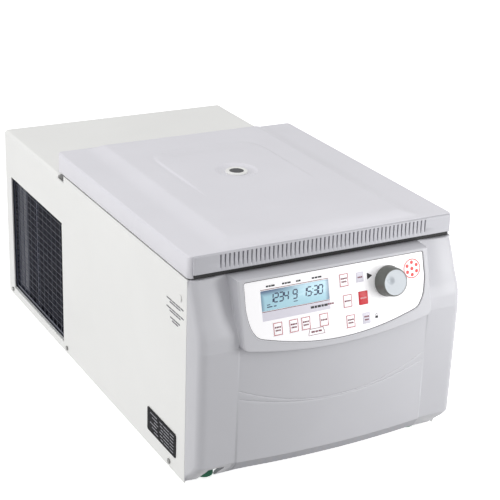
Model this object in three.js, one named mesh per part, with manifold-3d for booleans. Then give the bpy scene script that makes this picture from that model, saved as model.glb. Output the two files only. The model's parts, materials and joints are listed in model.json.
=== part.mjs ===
// Refrigerated bench-top laboratory centrifuge, built as an assembly of separate parts.
// Millimetres, +Z up. The front faces -Y and the width lies along X.
// Inside the machine group Y = 0 is the seam between cabinet and front fascia, and Z = 0 is the
// cabinet's lower edge. The group is then moved, so that the origin is on the floor under the
// middle of the whole machine.
import * as THREE from "three";
import { mergeVertices } from "three/addons/utils/BufferGeometryUtils.js";
import Module from "manifold-3d";

const wasm = await Module();
wasm.setup();

// ---- Driving dimensions ----------------------------------------------------
const GAP = 0.3; // between parts that rest on each other
const FOOT_DROP = 3; // the feet stand this far below the cabinet's lower edge

const CABINET = { halfWidth: 205, depth: 719, sheet: 2, bend: 6, deckZ: 296, sideTopZ: 301 };
const CENTRE_Y = 329.1; // middle of the whole machine, front to back

const TROUGH = { front: 434, back: 466.6, floorZ: 284, sheet: 2 }; // holds the lid's hinges
const DECK = { halfWidth: 202.6, front: 10, top: 300, sheet: 3 };

const FASCIA = {
  wall: 3,
  wingY: -41,
  bulgeHalfWidth: 148,
  bulgeDepth: 9,
  lowerEdgeZ: 4,
  back: -GAP,
  cornerRadius: 12,
};
// The control panel leans back: bottom edge at (baseY, baseZ), top edge at (topY, topZ).
const PANEL = { baseY: -51, baseZ: 207, topY: -27, topZ: 300, rim: 2.5, halfWidth: 147.5 };
const PANEL_LEAN = Math.atan2(PANEL.topY - PANEL.baseY, PANEL.topZ - PANEL.baseZ);

const LID = {
  front: -3,
  back: 465,
  lowerZ: 303,
  sideTopZ: 334,
  plateauZ: 342,
  wall: 3,
  cornerRadius: 7,
};
const HINGE = { y: 452, z: 310, x: 150, pinRadius: 4 };

const CHAMBER = { y: 260, radius: 148, rimZ: 296.6, floorZ: 120, wall: 2, shaftHole: 30 };
const ROTOR = { baseZ: 128, topZ: 206, radius: 106, bores: 6, boreRadius: 13, boreLean: 25 };
const SHAFT_RADIUS = 8;

const GRILLE = { y0: 453, y1: 692, z0: 14, z1: 220 };
const FAN = { y: 572, z: 116, radius: 84 };
const INLET = { x: 140, z: 70, width: 56, height: 30 };

// Keys on the panel: x, height up the panel, width, height.
const KEY_SIZE = [14.5, 18.5];
const KEYS = {
  key_program: [-94.6, 24.6, ...KEY_SIZE],
  key_rotor: [-70.6, 24.6, ...KEY_SIZE],
  key_accel: [-52.4, 24.6, ...KEY_SIZE],
  key_time: [-24.6, 24.6, ...KEY_SIZE],
  key_mode: [10.5, 72.5, ...KEY_SIZE],
  key_speed: [14, 43.5, ...KEY_SIZE],
  key_quick: [16.5, 15.2, ...KEY_SIZE],
  key_start: [35.8, 72.5, 11.5, 13.5],
  key_stop: [39, 43.5, ...KEY_SIZE],
  key_lid: [41.8, 15.2, 12, 15],
};
const LCD = { x: -64.4, y: 64.2, width: 102.5, height: 27 };
const KNOB = { x: 79.5, y: 60.5, baseRadius: 21.5, faceRadius: 18.5, height: 21 };

// ---- Materials -------------------------------------------------------------
const paint = (color, roughness, metalness = 0) => ({ color, roughness, metalness });
const WHITE_METAL = paint(0xececea, 0.45);
const LID_PLASTIC = paint(0xdedee2, 0.5);
const FASCIA_PLASTIC = paint(0xd2d2d4, 0.5);
const DARK_PLASTIC = paint(0x2a2c30, 0.6);
const KNOB_PLASTIC = paint(0x7d7f78, 0.5);
const KEY_PLASTIC = paint(0xf2f2f2, 0.55);
const STOP_PLASTIC = paint(0xcd1e2d, 0.5);
const STEEL = paint(0xb6b8ba, 0.35, 1);
const ALUMINIUM = paint(0xc2c5c8, 0.4, 1);
const COPPER = paint(0xb87345, 0.35, 1);
const RUBBER = paint(0x232323, 0.85);
const GREEN_RUBBER = paint(0x1e6e50, 0.8);
const FOAM = paint(0xe4dcc0, 0.9);
const BOARD_GREEN = paint(0x1f5a37, 0.6);
const GLASS = paint(0x1d2230, 0.1);
const LCD_BLUE = paint(0xa0cddc, 0.3);

// ---- Geometry helpers ------------------------------------------------------
function solid(geometry) {
  const bare = geometry.index ? geometry.toNonIndexed() : geometry.clone();
  bare.deleteAttribute("normal");
  bare.deleteAttribute("uv");
  const merged = mergeVertices(bare, 1e-4);
  return new wasm.Manifold(
    new wasm.Mesh({
      numProp: 3,
      vertProperties: merged.attributes.position.array,
      triVerts: new Uint32Array(merged.index.array),
    }),
  );
}

function geometryOf(manifold) {
  const made = manifold.getMesh();
  const geometry = new THREE.BufferGeometry();
  geometry.setAttribute("position", new THREE.BufferAttribute(made.vertProperties, 3));
  geometry.setIndex(new THREE.BufferAttribute(made.triVerts, 1));
  const flat = geometry.toNonIndexed();
  flat.computeVertexNormals();
  return flat;
}

const joined = (...pieces) => geometryOf(pieces.map(solid).reduce((all, one) => all.add(one)));
const cut = (body, ...tools) =>
  geometryOf(tools.map(solid).reduce((left, tool) => left.subtract(tool), solid(body)));

// A box between two corners.
function block([x0, y0, z0], [x1, y1, z1]) {
  return new THREE.BoxGeometry(x1 - x0, y1 - y0, z1 - z0).translate(
    (x0 + x1) / 2,
    (y0 + y1) / 2,
    (z0 + z1) / 2,
  );
}

// A solid of revolution about Z through (x, y). The profile is a list of [radius, z], going
// up the outside, and it closes on itself or on the axis.
function turned(profile, x = 0, y = 0, segments = 32) {
  const loop = profile.map(([r, z]) => new THREE.Vector2(r, z));
  if (profile[0][0] > 0) loop.push(loop[0].clone());
  return new THREE.LatheGeometry(loop, segments).rotateX(Math.PI / 2).translate(x, y, 0);
}

// A cylinder along Z from z0 to z1.
const rod = (radius, z0, z1, x = 0, y = 0, segments = 16) =>
  new THREE.CylinderGeometry(radius, radius, z1 - z0, segments)
    .rotateX(Math.PI / 2)
    .translate(x, y, (z0 + z1) / 2);

// A cylinder along X from x0 to x1.
const rodX = (radius, x0, x1, y, z, segments = 16) =>
  new THREE.CylinderGeometry(radius, radius, x1 - x0, segments)
    .rotateZ(Math.PI / 2)
    .translate((x0 + x1) / 2, y, z);

// A cylinder along Y from y0 to y1.
const rodY = (radius, y0, y1, x, z, segments = 16) =>
  new THREE.CylinderGeometry(radius, radius, y1 - y0, segments).translate(x, (y0 + y1) / 2, z);

// An outline in XY, extruded from z0 to z1.
function prism(points, z0, z1) {
  const shape = new THREE.Shape(points.map(([x, y]) => new THREE.Vector2(x, y)));
  return new THREE.ExtrudeGeometry(shape, { depth: z1 - z0, bevelEnabled: false }).translate(
    0,
    0,
    z0,
  );
}

// An outline in XZ, extruded from y0 to y1.
const prismY = (points, y0, y1) => prism(points, -y1, -y0).rotateX(Math.PI / 2);

// An outline in YZ, extruded from x0 to x1.
const prismX = (points, x0, x1) =>
  prism(points, x0, x1).applyMatrix4(
    new THREE.Matrix4().makeBasis(
      new THREE.Vector3(0, 1, 0),
      new THREE.Vector3(0, 0, 1),
      new THREE.Vector3(1, 0, 0),
    ),
  );

// A rectangle with round corners, as points.
function roundedRectangle(x0, y0, x1, y1, radius, steps = 3) {
  const corners = [
    [x1 - radius, y0 + radius, -90],
    [x1 - radius, y1 - radius, 0],
    [x0 + radius, y1 - radius, 90],
    [x0 + radius, y0 + radius, 180],
  ];
  return corners.flatMap(([cx, cy, start]) =>
    Array.from({ length: steps + 1 }, (_, i) => {
      const a = THREE.MathUtils.degToRad(start + (90 * i) / steps);
      return [cx + radius * Math.cos(a), cy + radius * Math.sin(a)];
    }),
  );
}

// ---- Assembly --------------------------------------------------------------
const machine = new THREE.Group();

function part(name, geometry, finish, group = machine) {
  const mesh = new THREE.Mesh(geometry, new THREE.MeshStandardMaterial(finish));
  mesh.name = name;
  group.add(mesh);
  return mesh;
}

const SIDES = { left: -1, right: 1 };

// ---- Cabinet ---------------------------------------------------------------
const SIDE_SCREWS = { front: 49, middle: 439, rear: 700 };
const SCREW = { z: 9, headRadius: 4, shankRadius: 2, headThickness: 1.3 };
const RELEASE = { y: 20, z: 268, holeRadius: 3.4 };

// One sheet, bent into the two sides and the rear deck. Ahead of the hinge trough only the
// sides stand, and a notch at the trough lets the lid's back corners swing down.
function housingWrap() {
  const { halfWidth: w, sheet: t, bend: r, deckZ, depth } = CABINET;
  const arch = (half, top, radius) => [
    ...[0, 30, 60, 90].map((a) => {
      const q = THREE.MathUtils.degToRad(a);
      return [half - radius + radius * Math.cos(q), top - radius + radius * Math.sin(q)];
    }),
    ...[90, 120, 150, 180].map((a) => {
      const q = THREE.MathUtils.degToRad(a);
      return [-half + radius + radius * Math.cos(q), top - radius + radius * Math.sin(q)];
    }),
  ];
  const section = [
    [w, 0],
    ...arch(w, deckZ, r),
    [-w, 0],
    [t - w, 0],
    ...arch(w - t, deckZ - t, r - t).reverse(),
    [w - t, 0],
  ];
  const hoodFront = TROUGH.back + GAP;
  const notch = 441;
  const pieces = [prismY(section, hoodFront, depth)];
  for (const side of Object.values(SIDES)) {
    const inner = side * (w - t);
    const outer = side * w;
    const [x0, x1] = [Math.min(inner, outer), Math.max(inner, outer)];
    pieces.push(block([x0, GAP, 0], [x1, notch, CABINET.sideTopZ]));
    pieces.push(block([x0, notch - 1, 0], [x1, hoodFront + 5, deckZ - r]));
  }
  // Front edge of the rear deck, turned down to close the trough.
  const lip = w - t + 0.5;
  pieces.push(block([-lip, hoodFront, TROUGH.floorZ], [lip, hoodFront + t, deckZ - t / 2]));
  const tools = [block([-w - 5, GRILLE.y0, GRILLE.z0], [t - w + 5, GRILLE.y1, GRILLE.z1])];
  for (let i = 0; i < 12; i += 1) {
    const z = 60 + i * 14;
    tools.push(block([w - t - 5, 520, z], [w + 5, 690, z + 5]));
  }
  for (const y of Object.values(SIDE_SCREWS)) {
    for (const side of Object.values(SIDES)) {
      tools.push(rodX(SCREW.shankRadius + GAP, side * w - 8, side * w + 8, y, SCREW.z, 12));
    }
  }
  tools.push(rodX(RELEASE.holeRadius, -w - 5, -w + 8, RELEASE.y, RELEASE.z, 12));
  return cut(joined(...pieces), ...tools);
}
part("housing_wrap", housingWrap(), WHITE_METAL);

// A shallow pan with its sides and back turned down, where the housing's screws hold it. The
// skirt below the floor hides the feet, and its front stays open.
const PAN = { front: 3, back: 715, lowerZ: 2, floorZ: 15, topZ: 17 };
function basePan() {
  const w = CABINET.halfWidth - CABINET.sheet - GAP;
  const { front, back, lowerZ, floorZ, topZ } = PAN;
  const tray = cut(
    block([-w, front, lowerZ], [w, back, topZ]),
    block([2 - w, front - 5, lowerZ - 5], [w - 2, back - 2, floorZ]),
  );
  const holes = [];
  for (const y of Object.values(SIDE_SCREWS)) {
    for (const side of Object.values(SIDES)) {
      holes.push(rodX(SCREW.shankRadius + GAP, side * w - 6, side * w + 6, y, SCREW.z, 12));
    }
  }
  for (let i = 0; i < 6; i += 1) {
    holes.push(block([-60, 520 + i * 24, floorZ - 3], [60, 530 + i * 24, topZ + 3]));
  }
  return cut(tray, ...holes);
}
part("base_pan", basePan(), STEEL);

for (const [sideName, side] of Object.entries(SIDES)) {
  for (const [place, y] of Object.entries(SIDE_SCREWS)) {
    const face = side * (CABINET.halfWidth + GAP);
    const head = face + side * SCREW.headThickness;
    const tip = side * (CABINET.halfWidth - 6);
    const screw = joined(
      rodX(SCREW.headRadius, Math.min(face, head), Math.max(face, head), y, SCREW.z),
      rodX(SCREW.shankRadius, Math.min(tip, head), Math.max(tip, head), y, SCREW.z, 10),
    );
    part(`side_screw_${sideName}_${place}`, screw, STEEL);
  }
}

// Feet: elastomer pads under the pan. The front pair is green.
const FOOT = { x: 167, frontY: 17, rearY: 688, radius: 13, topZ: PAN.floorZ - GAP };
for (const [sideName, side] of Object.entries(SIDES)) {
  for (const [place, y] of Object.entries({ front: FOOT.frontY, rear: FOOT.rearY })) {
    const pad = turned(
      [
        [0, -FOOT_DROP],
        [FOOT.radius - 2, -FOOT_DROP],
        [FOOT.radius, -FOOT_DROP + 1.5],
        [FOOT.radius - 1, FOOT.topZ],
        [0, FOOT.topZ],
      ],
      side * FOOT.x,
      y,
      20,
    );
    part(`foot_${place}_${sideName}`, pad, place === "front" ? GREEN_RUBBER : RUBBER);
  }
}

// Rear panel with the opening for the mains module and a field of vent slots.
function rearPanel() {
  const w = CABINET.halfWidth - CABINET.sheet - GAP;
  const top = CABINET.deckZ - CABINET.sheet - GAP;
  const [y0, y1] = [716.5, 718.5];
  const plate = prismY(roundedRectangle(-w, 3, w, top, 4), y0, y1);
  const tools = [
    block(
      [INLET.x - INLET.width / 2, y0 - 2, INLET.z - INLET.height / 2],
      [INLET.x + INLET.width / 2, y1 + 2, INLET.z + INLET.height / 2],
    ),
  ];
  for (let i = 0; i < 9; i += 1) {
    tools.push(block([-150, y0 - 2, 90 + i * 16], [30, y1 + 2, 96 + i * 16]));
  }
  return cut(plate, ...tools);
}
part("rear_panel", rearPanel(), WHITE_METAL);

// Dark air intake behind the opening in the left side: a frame with thin upright blades.
function condenserGrille() {
  const x1 = -(CABINET.halfWidth - 2 * CABINET.sheet - 2 * GAP);
  const x0 = x1 + 2;
  const frame = block([x1, GRILLE.y0 - 5, GRILLE.z0 + 4], [x0, GRILLE.y1 + 5, GRILLE.z1 + 5]);
  const slots = 24;
  const blade = 2.5;
  const pitch = (GRILLE.y1 - GRILLE.y0 - 10) / slots;
  const tools = [];
  for (let i = 0; i < slots; i += 1) {
    const y = GRILLE.y0 + 5 + i * pitch;
    const [y0, y1] = [y + blade / 2, y + pitch - blade / 2];
    tools.push(block([x1 - 3, y0, GRILLE.z0 + 4], [x0 + 3, y1, GRILLE.z1 - 4]));
  }
  return cut(frame, ...tools);
}
part("condenser_grille", condenserGrille(), DARK_PLASTIC);

// Data plate low on the left side, near the front.
const PLATE = { y0: 27, y1: 121, z0: 24, z1: 61, thickness: 0.8 };
const plateFace = -CABINET.halfWidth - GAP;
part(
  "rating_plate",
  block([plateFace - PLATE.thickness, PLATE.y0, PLATE.z0], [plateFace, PLATE.y1, PLATE.z1]),
  DARK_PLASTIC,
);

// Plug over the cord that frees the lid by hand when the power is off.
part(
  "release_plug",
  joined(
    rodX(5, -CABINET.halfWidth - 1.6, -CABINET.halfWidth - GAP, RELEASE.y, RELEASE.z),
    rodX(RELEASE.holeRadius - GAP, -CABINET.halfWidth - 1.6, -195, RELEASE.y, RELEASE.z, 12),
  ),
  KEY_PLASTIC,
);

// ---- Front fascia ----------------------------------------------------------
// Depth of the lower bulge at x: a shallow arc in plan.
const bulgeY = (x) => FASCIA.wingY - FASCIA.bulgeDepth * (1 - (x / FASCIA.bulgeHalfWidth) ** 2);
// Depth of the panel's rim at height z.
const rimY = (z) =>
  PANEL.topY - (PANEL.topZ - z) * Math.tan(PANEL_LEAN) - PANEL.rim / Math.cos(PANEL_LEAN);
// The rim's lower edge sags in the middle.
const bezelBottomZ = (x) => 195 + 15 * (x / PANEL.halfWidth) ** 2;

// Front outline of the fascia at one x, from top to bottom, as [y, z].
function fasciaColumn(x) {
  const wing = [
    [-7, 301],
    [-14.5, 286],
    [-21.5, 270],
    [-28, 254],
    [-35, 241],
    [-39.5, 229],
    [-40.8, 219],
    [-41.6, 213],
    [-42, 210],
    [-41, 150],
    [-40, 90],
    [-39, 40],
    [-31, 30],
    [-2.5, FASCIA.lowerEdgeZ],
  ];
  const size = Math.abs(x);
  if (size > PANEL.halfWidth + 0.6) {
    const past = Math.max(0, size - (CABINET.halfWidth - FASCIA.cornerRadius));
    const round = FASCIA.cornerRadius - Math.sqrt(Math.max(0, FASCIA.cornerRadius ** 2 - past ** 2));
    return wing.map(([y, z]) => [Math.min(y + round, FASCIA.back - 1.2), z]);
  }
  const sag = bezelBottomZ(x);
  const rimLevels = [301, 286, 270, 254, 241, 229, sag + 8, sag + 1];
  return [
    ...rimLevels.map((z) => [rimY(z), z]),
    ...[sag - 1.5, 150, 90, 40].map((z) => [bulgeY(x), z]),
    [bulgeY(x) + 8, 30],
    [-2.5, FASCIA.lowerEdgeZ],
  ];
}

// A closed body between the fascia's front, moved back by inset, and the plane y = back.
function fasciaBody(inset, halfWidth, back) {
  const edge = PANEL.halfWidth;
  const half = [edge, edge + 1.2, 160, 193, 197, 200.5, 203, 204.5, 205];
  const middle = [-120, -90, -60, -30, 0, 30, 60, 90, 120];
  const all = [...half.map((x) => -x).reverse(), ...middle, ...half];
  const stations = all.filter((x) => Math.abs(x) < halfWidth - 0.2);
  const xs = [-halfWidth, ...stations, halfWidth];
  const shift = ([y, z], j, column) => {
    const top = j === 0 ? -inset : 0;
    const bottom = j === column.length - 1 ? inset : 0;
    return [y + inset, z + top + bottom];
  };
  const columns = xs.map((x) => fasciaColumn(x).map(shift));
  const rows = columns[0].length;
  const positions = [];
  columns.forEach((column, i) => {
    column.forEach(([y, z]) => positions.push(xs[i], y, z));
    column.forEach(([, z]) => positions.push(xs[i], back, z));
  });
  const at = (i, j, rear) => i * rows * 2 + (rear ? rows : 0) + j;
  const index = [];
  const quad = (a, b, c, d) => index.push(a, b, c, a, c, d);
  for (let i = 0; i < xs.length - 1; i += 1) {
    for (let j = 0; j < rows - 1; j += 1) {
      quad(at(i, j), at(i, j + 1), at(i + 1, j + 1), at(i + 1, j));
      quad(at(i, j, true), at(i + 1, j, true), at(i + 1, j + 1, true), at(i, j + 1, true));
    }
    quad(at(i, 0), at(i + 1, 0), at(i + 1, 0, true), at(i, 0, true));
    quad(at(i, rows - 1), at(i, rows - 1, true), at(i + 1, rows - 1, true), at(i + 1, rows - 1));
  }
  const last = xs.length - 1;
  for (let j = 0; j < rows - 1; j += 1) {
    quad(at(0, j), at(0, j, true), at(0, j + 1, true), at(0, j + 1));
    quad(at(last, j), at(last, j + 1), at(last, j + 1, true), at(last, j, true));
  }
  const geometry = new THREE.BufferGeometry();
  geometry.setAttribute("position", new THREE.Float32BufferAttribute(positions, 3));
  geometry.setIndex(index);
  return geometry;
}

// ---- Control panel ---------------------------------------------------------
// Everything on the panel is drawn in the panel's own plane: x across, y up the slope and z out
// of its face, with z = 0 at the floor of the recess that the overlay lies in.
const panel = new THREE.Group();
panel.position.set(0, PANEL.baseY, PANEL.baseZ);
panel.rotation.x = Math.PI / 2 - PANEL_LEAN;
machine.add(panel);
panel.updateMatrix();
const onPanel = (geometry) => geometry.clone().applyMatrix4(panel.matrix);

// Outline of the overlay: straight top, sides drawn in towards a curved lower edge.
function overlayOutline(inset) {
  const [halfWidth, top, cornerX, cornerY, sag] = [139, 92.5, 122, 16, 19.5];
  const side = [
    [halfWidth - inset, top - inset],
    [halfWidth - inset, 56],
    [halfWidth - 3.5 - inset, 36],
    [halfWidth - 9 - inset, 24],
    [cornerX - inset * 0.6, cornerY + inset * 0.8],
  ];
  const lower = [];
  const steps = 12;
  for (let i = 1; i < steps; i += 1) {
    const x = cornerX * (1 - (2 * i) / steps);
    lower.push([x * (1 - inset / cornerX), cornerY - sag * (1 - (x / cornerX) ** 2) + inset]);
  }
  const left = side.map(([x, y]) => [-x, y]).reverse();
  return [...side, ...lower, ...left].reverse();
}

const OVERLAY = { z0: GAP, z1: 1.5, knobHole: 5 };
const rectangle = ([x, y, width, height], grow, z0, z1) =>
  block(
    [x - width / 2 - grow, y - height / 2 - grow, z0],
    [x + width / 2 + grow, y + height / 2 + grow, z1],
  );
const lcdPlace = [LCD.x, LCD.y, LCD.width, LCD.height];

// Ahead of each front foot the wing ends at its lower edge, and leaves the foot in view.
const FOOT_CUTOUT = { halfWidth: 18, topZ: 39 };
const fasciaOuter = fasciaBody(0, CABINET.halfWidth, FASCIA.back);
const fasciaInner = fasciaBody(FASCIA.wall, CABINET.halfWidth - FASCIA.wall, 20);
const ledge = block([-202.2, -5, 298], [202.2, DECK.front - GAP, 301]);
part(
  "front_fascia",
  cut(
    joined(cut(fasciaOuter, fasciaInner), ledge),
    onPanel(prism(overlayOutline(0), 0, 12)),
    onPanel(prism(overlayOutline(4), -20, 1)),
    ...Object.values(SIDES).map((side) =>
      block(
        [side * FOOT.x - FOOT_CUTOUT.halfWidth, -60, -10],
        [side * FOOT.x + FOOT_CUTOUT.halfWidth, 12, FOOT_CUTOUT.topZ],
      ),
    ),
  ),
  FASCIA_PLASTIC,
);

part(
  "control_overlay",
  cut(
    prism(overlayOutline(0.5), OVERLAY.z0, OVERLAY.z1),
    rectangle(lcdPlace, 0, -1, 4),
    rod(OVERLAY.knobHole, -1, 4, KNOB.x, KNOB.y),
    ...Object.values(KEYS).map((place) => rectangle(place, 0, -1, 4)),
  ),
  KEY_PLASTIC,
  panel,
);
part("lcd_window", rectangle(lcdPlace, -GAP, -2.6, 1.2), LCD_BLUE, panel);
part("control_board", prism(overlayOutline(6), -4.8, -3.2), BOARD_GREEN, panel);

for (const [name, place] of Object.entries(KEYS)) {
  const finish = name === "key_stop" ? STOP_PLASTIC : KEY_PLASTIC;
  part(name, rectangle(place, -GAP, -2.2, OVERLAY.z1 + 0.5), finish, panel);
}

// Rotary selector with a finger dimple in its face. Its shaft passes through the overlay.
function controlKnob() {
  const { x, y, baseRadius, faceRadius, height } = KNOB;
  const foot = OVERLAY.z1 + 0.6;
  const top = foot + height;
  const body = turned(
    [
      [0, -2.8],
      [OVERLAY.knobHole - 1, -2.8],
      [OVERLAY.knobHole - 1, foot],
      [baseRadius, foot],
      [baseRadius, foot + 2],
      [faceRadius + 0.8, top - 2],
      [faceRadius - 1, top],
      [0, top],
    ],
    x,
    y,
    40,
  );
  const dimple = new THREE.SphereGeometry(9, 16, 10).translate(x - 8, y + 3, top + 7.2);
  return cut(body, dimple);
}
part("control_knob", controlKnob(), KNOB_PLASTIC, panel);

// ---- Deck and rotor chamber ------------------------------------------------
const LATCH_SLOT = { halfWidth: 14, y0: 36, y1: 50 };
const LATCH = { y: 60, z: 262, travel: 22, pinRadius: 3, cheek: 9 };

function chamberDeck() {
  const { halfWidth: w, front, top, sheet } = DECK;
  const under = top - sheet;
  const { front: wall, back, floorZ, sheet: t } = TROUGH;
  const plate = joined(
    block([-w, front, under], [w, wall, top]),
    block([-w, wall - t, floorZ], [w, wall, under + 1]),
    block([-w, wall - 0.5, floorZ], [w, back, floorZ + t]),
    block([-w, front, 280], [w, front + 2, under + 1]),
  );
  return cut(
    plate,
    rod(CHAMBER.radius + 3, under - 5, top + 5, 0, CHAMBER.y, 48),
    block(
      [-LATCH_SLOT.halfWidth, LATCH_SLOT.y0, under - 5],
      [LATCH_SLOT.halfWidth, LATCH_SLOT.y1, top + 5],
    ),
  );
}
part("chamber_deck", chamberDeck(), FASCIA_PLASTIC);

function chamberBowl() {
  const { radius: r, wall: t, rimZ, floorZ, shaftHole, y } = CHAMBER;
  const profile = [
    [shaftHole, floorZ - t],
    [r - 9, floorZ - t],
    [r + t, floorZ + 8],
    [r + t, rimZ - t],
    [r + 12, rimZ - t],
    [r + 12, rimZ],
    [r, rimZ],
    [r, floorZ + 9],
    [r - 10, floorZ],
    [shaftHole, floorZ],
  ];
  return turned(profile, 0, y, 40);
}
part("chamber_bowl", chamberBowl(), STEEL);

// Lip seal on the deck around the chamber's mouth.
const SEAL = { r0: 153, r1: 161, z0: DECK.top + GAP, z1: 306 };
part(
  "chamber_gasket",
  turned(
    [
      [SEAL.r0, SEAL.z0],
      [SEAL.r1, SEAL.z0],
      [SEAL.r1 - 1, SEAL.z0 + 2],
      [SEAL.r0 + 5, SEAL.z1],
      [SEAL.r0 + 3, SEAL.z1],
      [SEAL.r0, SEAL.z0 + 2],
    ],
    0,
    CHAMBER.y,
    40,
  ),
  RUBBER,
);

// Evaporator tube wound round the bowl.
class Helix extends THREE.Curve {
  constructor(radius, z0, z1, turns) {
    super();
    Object.assign(this, { radius, z0, z1, turns });
  }

  getPoint(t, target = new THREE.Vector3()) {
    const a = 2 * Math.PI * this.turns * t;
    const z = this.z0 + (this.z1 - this.z0) * t;
    return target.set(this.radius * Math.cos(a), this.radius * Math.sin(a), z);
  }
}

function evaporatorCoil() {
  const sides = 6;
  const tube = new THREE.Shape(
    Array.from({ length: sides }, (_, i) => {
      const a = (2 * Math.PI * i) / sides;
      return new THREE.Vector2(3.2 * Math.cos(a), 3.2 * Math.sin(a));
    }),
  );
  const path = new Helix(CHAMBER.radius + 7.3, 150, 264, 4);
  const wound = new THREE.ExtrudeGeometry(tube, { extrudePath: path, steps: 88 });
  return wound.translate(0, CHAMBER.y, 0);
}
part("evaporator_coil", evaporatorCoil(), COPPER);

part(
  "insulation_cup",
  turned(
    [
      [62, 102],
      [171, 102],
      [171, 282],
      [160.5, 282],
      [160.5, 114],
      [62, 114],
    ],
    0,
    CHAMBER.y,
    40,
  ),
  FOAM,
);
part(
  "guard_ring",
  turned(
    [
      [173, 96],
      [177, 96],
      [177, 280],
      [173, 280],
    ],
    0,
    CHAMBER.y,
    40,
  ),
  STEEL,
);

// ---- Drive and rotor -------------------------------------------------------
part(
  "motor_housing",
  turned(
    [
      [0, 32],
      [56, 32],
      [58, 35],
      [58, 92],
      [52, 98],
      [26, 98],
      [26, 114],
      [SHAFT_RADIUS + 1, 114],
      [SHAFT_RADIUS + 1, 60],
      [0, 60],
    ],
    0,
    CHAMBER.y,
    32,
  ),
  ALUMINIUM,
);

// Plate under the motor, standing on four soft posts.
function motorMount() {
  const [x, y] = [75, CHAMBER.y];
  const posts = [-1, 1].flatMap((i) =>
    [-1, 1].map((j) => rod(11, PAN.topZ + GAP, 27, i * x, y + j * x)),
  );
  return joined(prism(roundedRectangle(-92, y - 92, 92, y + 92, 14), 26, 32 - GAP), ...posts);
}
part("motor_mount", motorMount(), STEEL);

part(
  "drive_shaft",
  turned(
    [
      [0, 61],
      [SHAFT_RADIUS, 61],
      [SHAFT_RADIUS, 124],
      [14, 124],
      [14, ROTOR.baseZ - GAP],
      [SHAFT_RADIUS, ROTOR.baseZ - GAP],
      [SHAFT_RADIUS, 200],
      [0, 202],
    ],
    0,
    CHAMBER.y,
    20,
  ),
  STEEL,
);

// Fixed-angle rotor: the bores lean outwards towards their lower ends.
const BORE = { mouthRadius: 58, length: 66 };
function rotorBody() {
  const { baseZ, topZ, radius, bores, boreRadius, boreLean } = ROTOR;
  const body = turned(
    [
      [SHAFT_RADIUS + GAP, baseZ],
      [88, baseZ],
      [radius, baseZ + 12],
      [radius, baseZ + 24],
      [82, topZ],
      [28, topZ],
      [28, topZ - 10],
      [SHAFT_RADIUS + GAP, topZ - 10],
    ],
    0,
    0,
    36,
  );
  const tools = Array.from({ length: bores }, (_, i) =>
    rod(boreRadius, -BORE.length, 12, 0, 0, 10)
      .rotateY(THREE.MathUtils.degToRad(-boreLean))
      .translate(BORE.mouthRadius, 0, topZ + 4)
      .rotateZ((2 * Math.PI * i) / bores),
  );
  return cut(body, ...tools).translate(0, CHAMBER.y, 0);
}
part("rotor", rotorBody(), ALUMINIUM);

part(
  "rotor_lid",
  turned(
    [
      [0, ROTOR.topZ + GAP],
      [86, ROTOR.topZ + GAP],
      [86, ROTOR.topZ + 3],
      [40, ROTOR.topZ + 12],
      [15, ROTOR.topZ + 14],
      [17, ROTOR.topZ + 30],
      [14, ROTOR.topZ + 34],
      [0, ROTOR.topZ + 34],
    ],
    0,
    CHAMBER.y,
    40,
  ),
  KNOB_PLASTIC,
);

// ---- Cooling set in the rear bay -------------------------------------------
part(
  "compressor",
  joined(
    turned(
      [
        [0, 26],
        [56, 26],
        [64, 36],
        [64, 84],
        [66, 86],
        [66, 90],
        [64, 92],
        [64, 140],
        [52, 158],
        [0, 164],
      ],
      20,
      590,
      28,
    ),
    block([-50, 550, PAN.topZ + GAP], [90, 630, 28]),
    rod(5, 150, 190, 40, 600, 10),
  ),
  RUBBER,
);

// Condenser: a comb of fins on a spine.
function condenserCoil() {
  const fins = 26;
  const [x0, x1, spine] = [-197, -172, -175];
  const [y0, y1] = [GRILLE.y0 + 3, GRILLE.y1 - 3];
  const pitch = (y1 - y0 - 2) / (fins - 1);
  const outline = [
    [x1, y0],
    [x1, y1],
  ];
  for (let i = fins - 1; i >= 0; i -= 1) {
    const y = y0 + i * pitch;
    outline.push([i === fins - 1 ? x0 : spine, y + 2], [x0, y + 2], [x0, y]);
    if (i > 0) outline.push([spine, y]);
  }
  const isNew = ([x, y], i) => i === 0 || x !== outline[i - 1][0] || y !== outline[i - 1][1];
  return prism(outline.filter(isNew), GRILLE.z0 + 4, GRILLE.z1 - 2);
}
part("condenser_coil", condenserCoil(), ALUMINIUM);

// Fan frame with its motor on three struts.
function fanShroud() {
  const [x0, x1] = [-170, -141];
  const { y, z, radius } = FAN;
  const frame = cut(
    block([x0, y - 100, z - 98], [x1, y + 100, z + 98]),
    rodX(radius + 3, x0 - 5, x1 + 5, y, z, 40),
    block([x0 + 3, y - 110, z - 110], [x1 - 3, y - 90, z + 110]),
  );
  const struts = [0, 120, 240].map((a) =>
    block([-3, -4, 20], [3, 4, radius + 8])
      .rotateX(THREE.MathUtils.degToRad(a))
      .translate(x1 - 3, y, z),
  );
  return joined(frame, ...struts, rodX(27, x1 - 6, x1 + 28, y, z, 20));
}
part("fan_shroud", fanShroud(), DARK_PLASTIC);

function fanImpeller() {
  const { y, z, radius } = FAN;
  const hub = rodX(26, -168, -150, 0, 0, 20);
  const blades = Array.from({ length: 5 }, (_, i) =>
    block([-1, -10, 22], [1, 10, radius - 2])
      .rotateZ(THREE.MathUtils.degToRad(62))
      .translate(-160, 0, 0)
      .rotateX((2 * Math.PI * i) / 5),
  );
  return joined(hub, ...blades).translate(0, y, z);
}
part("fan_impeller", fanImpeller(), DARK_PLASTIC);

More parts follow.
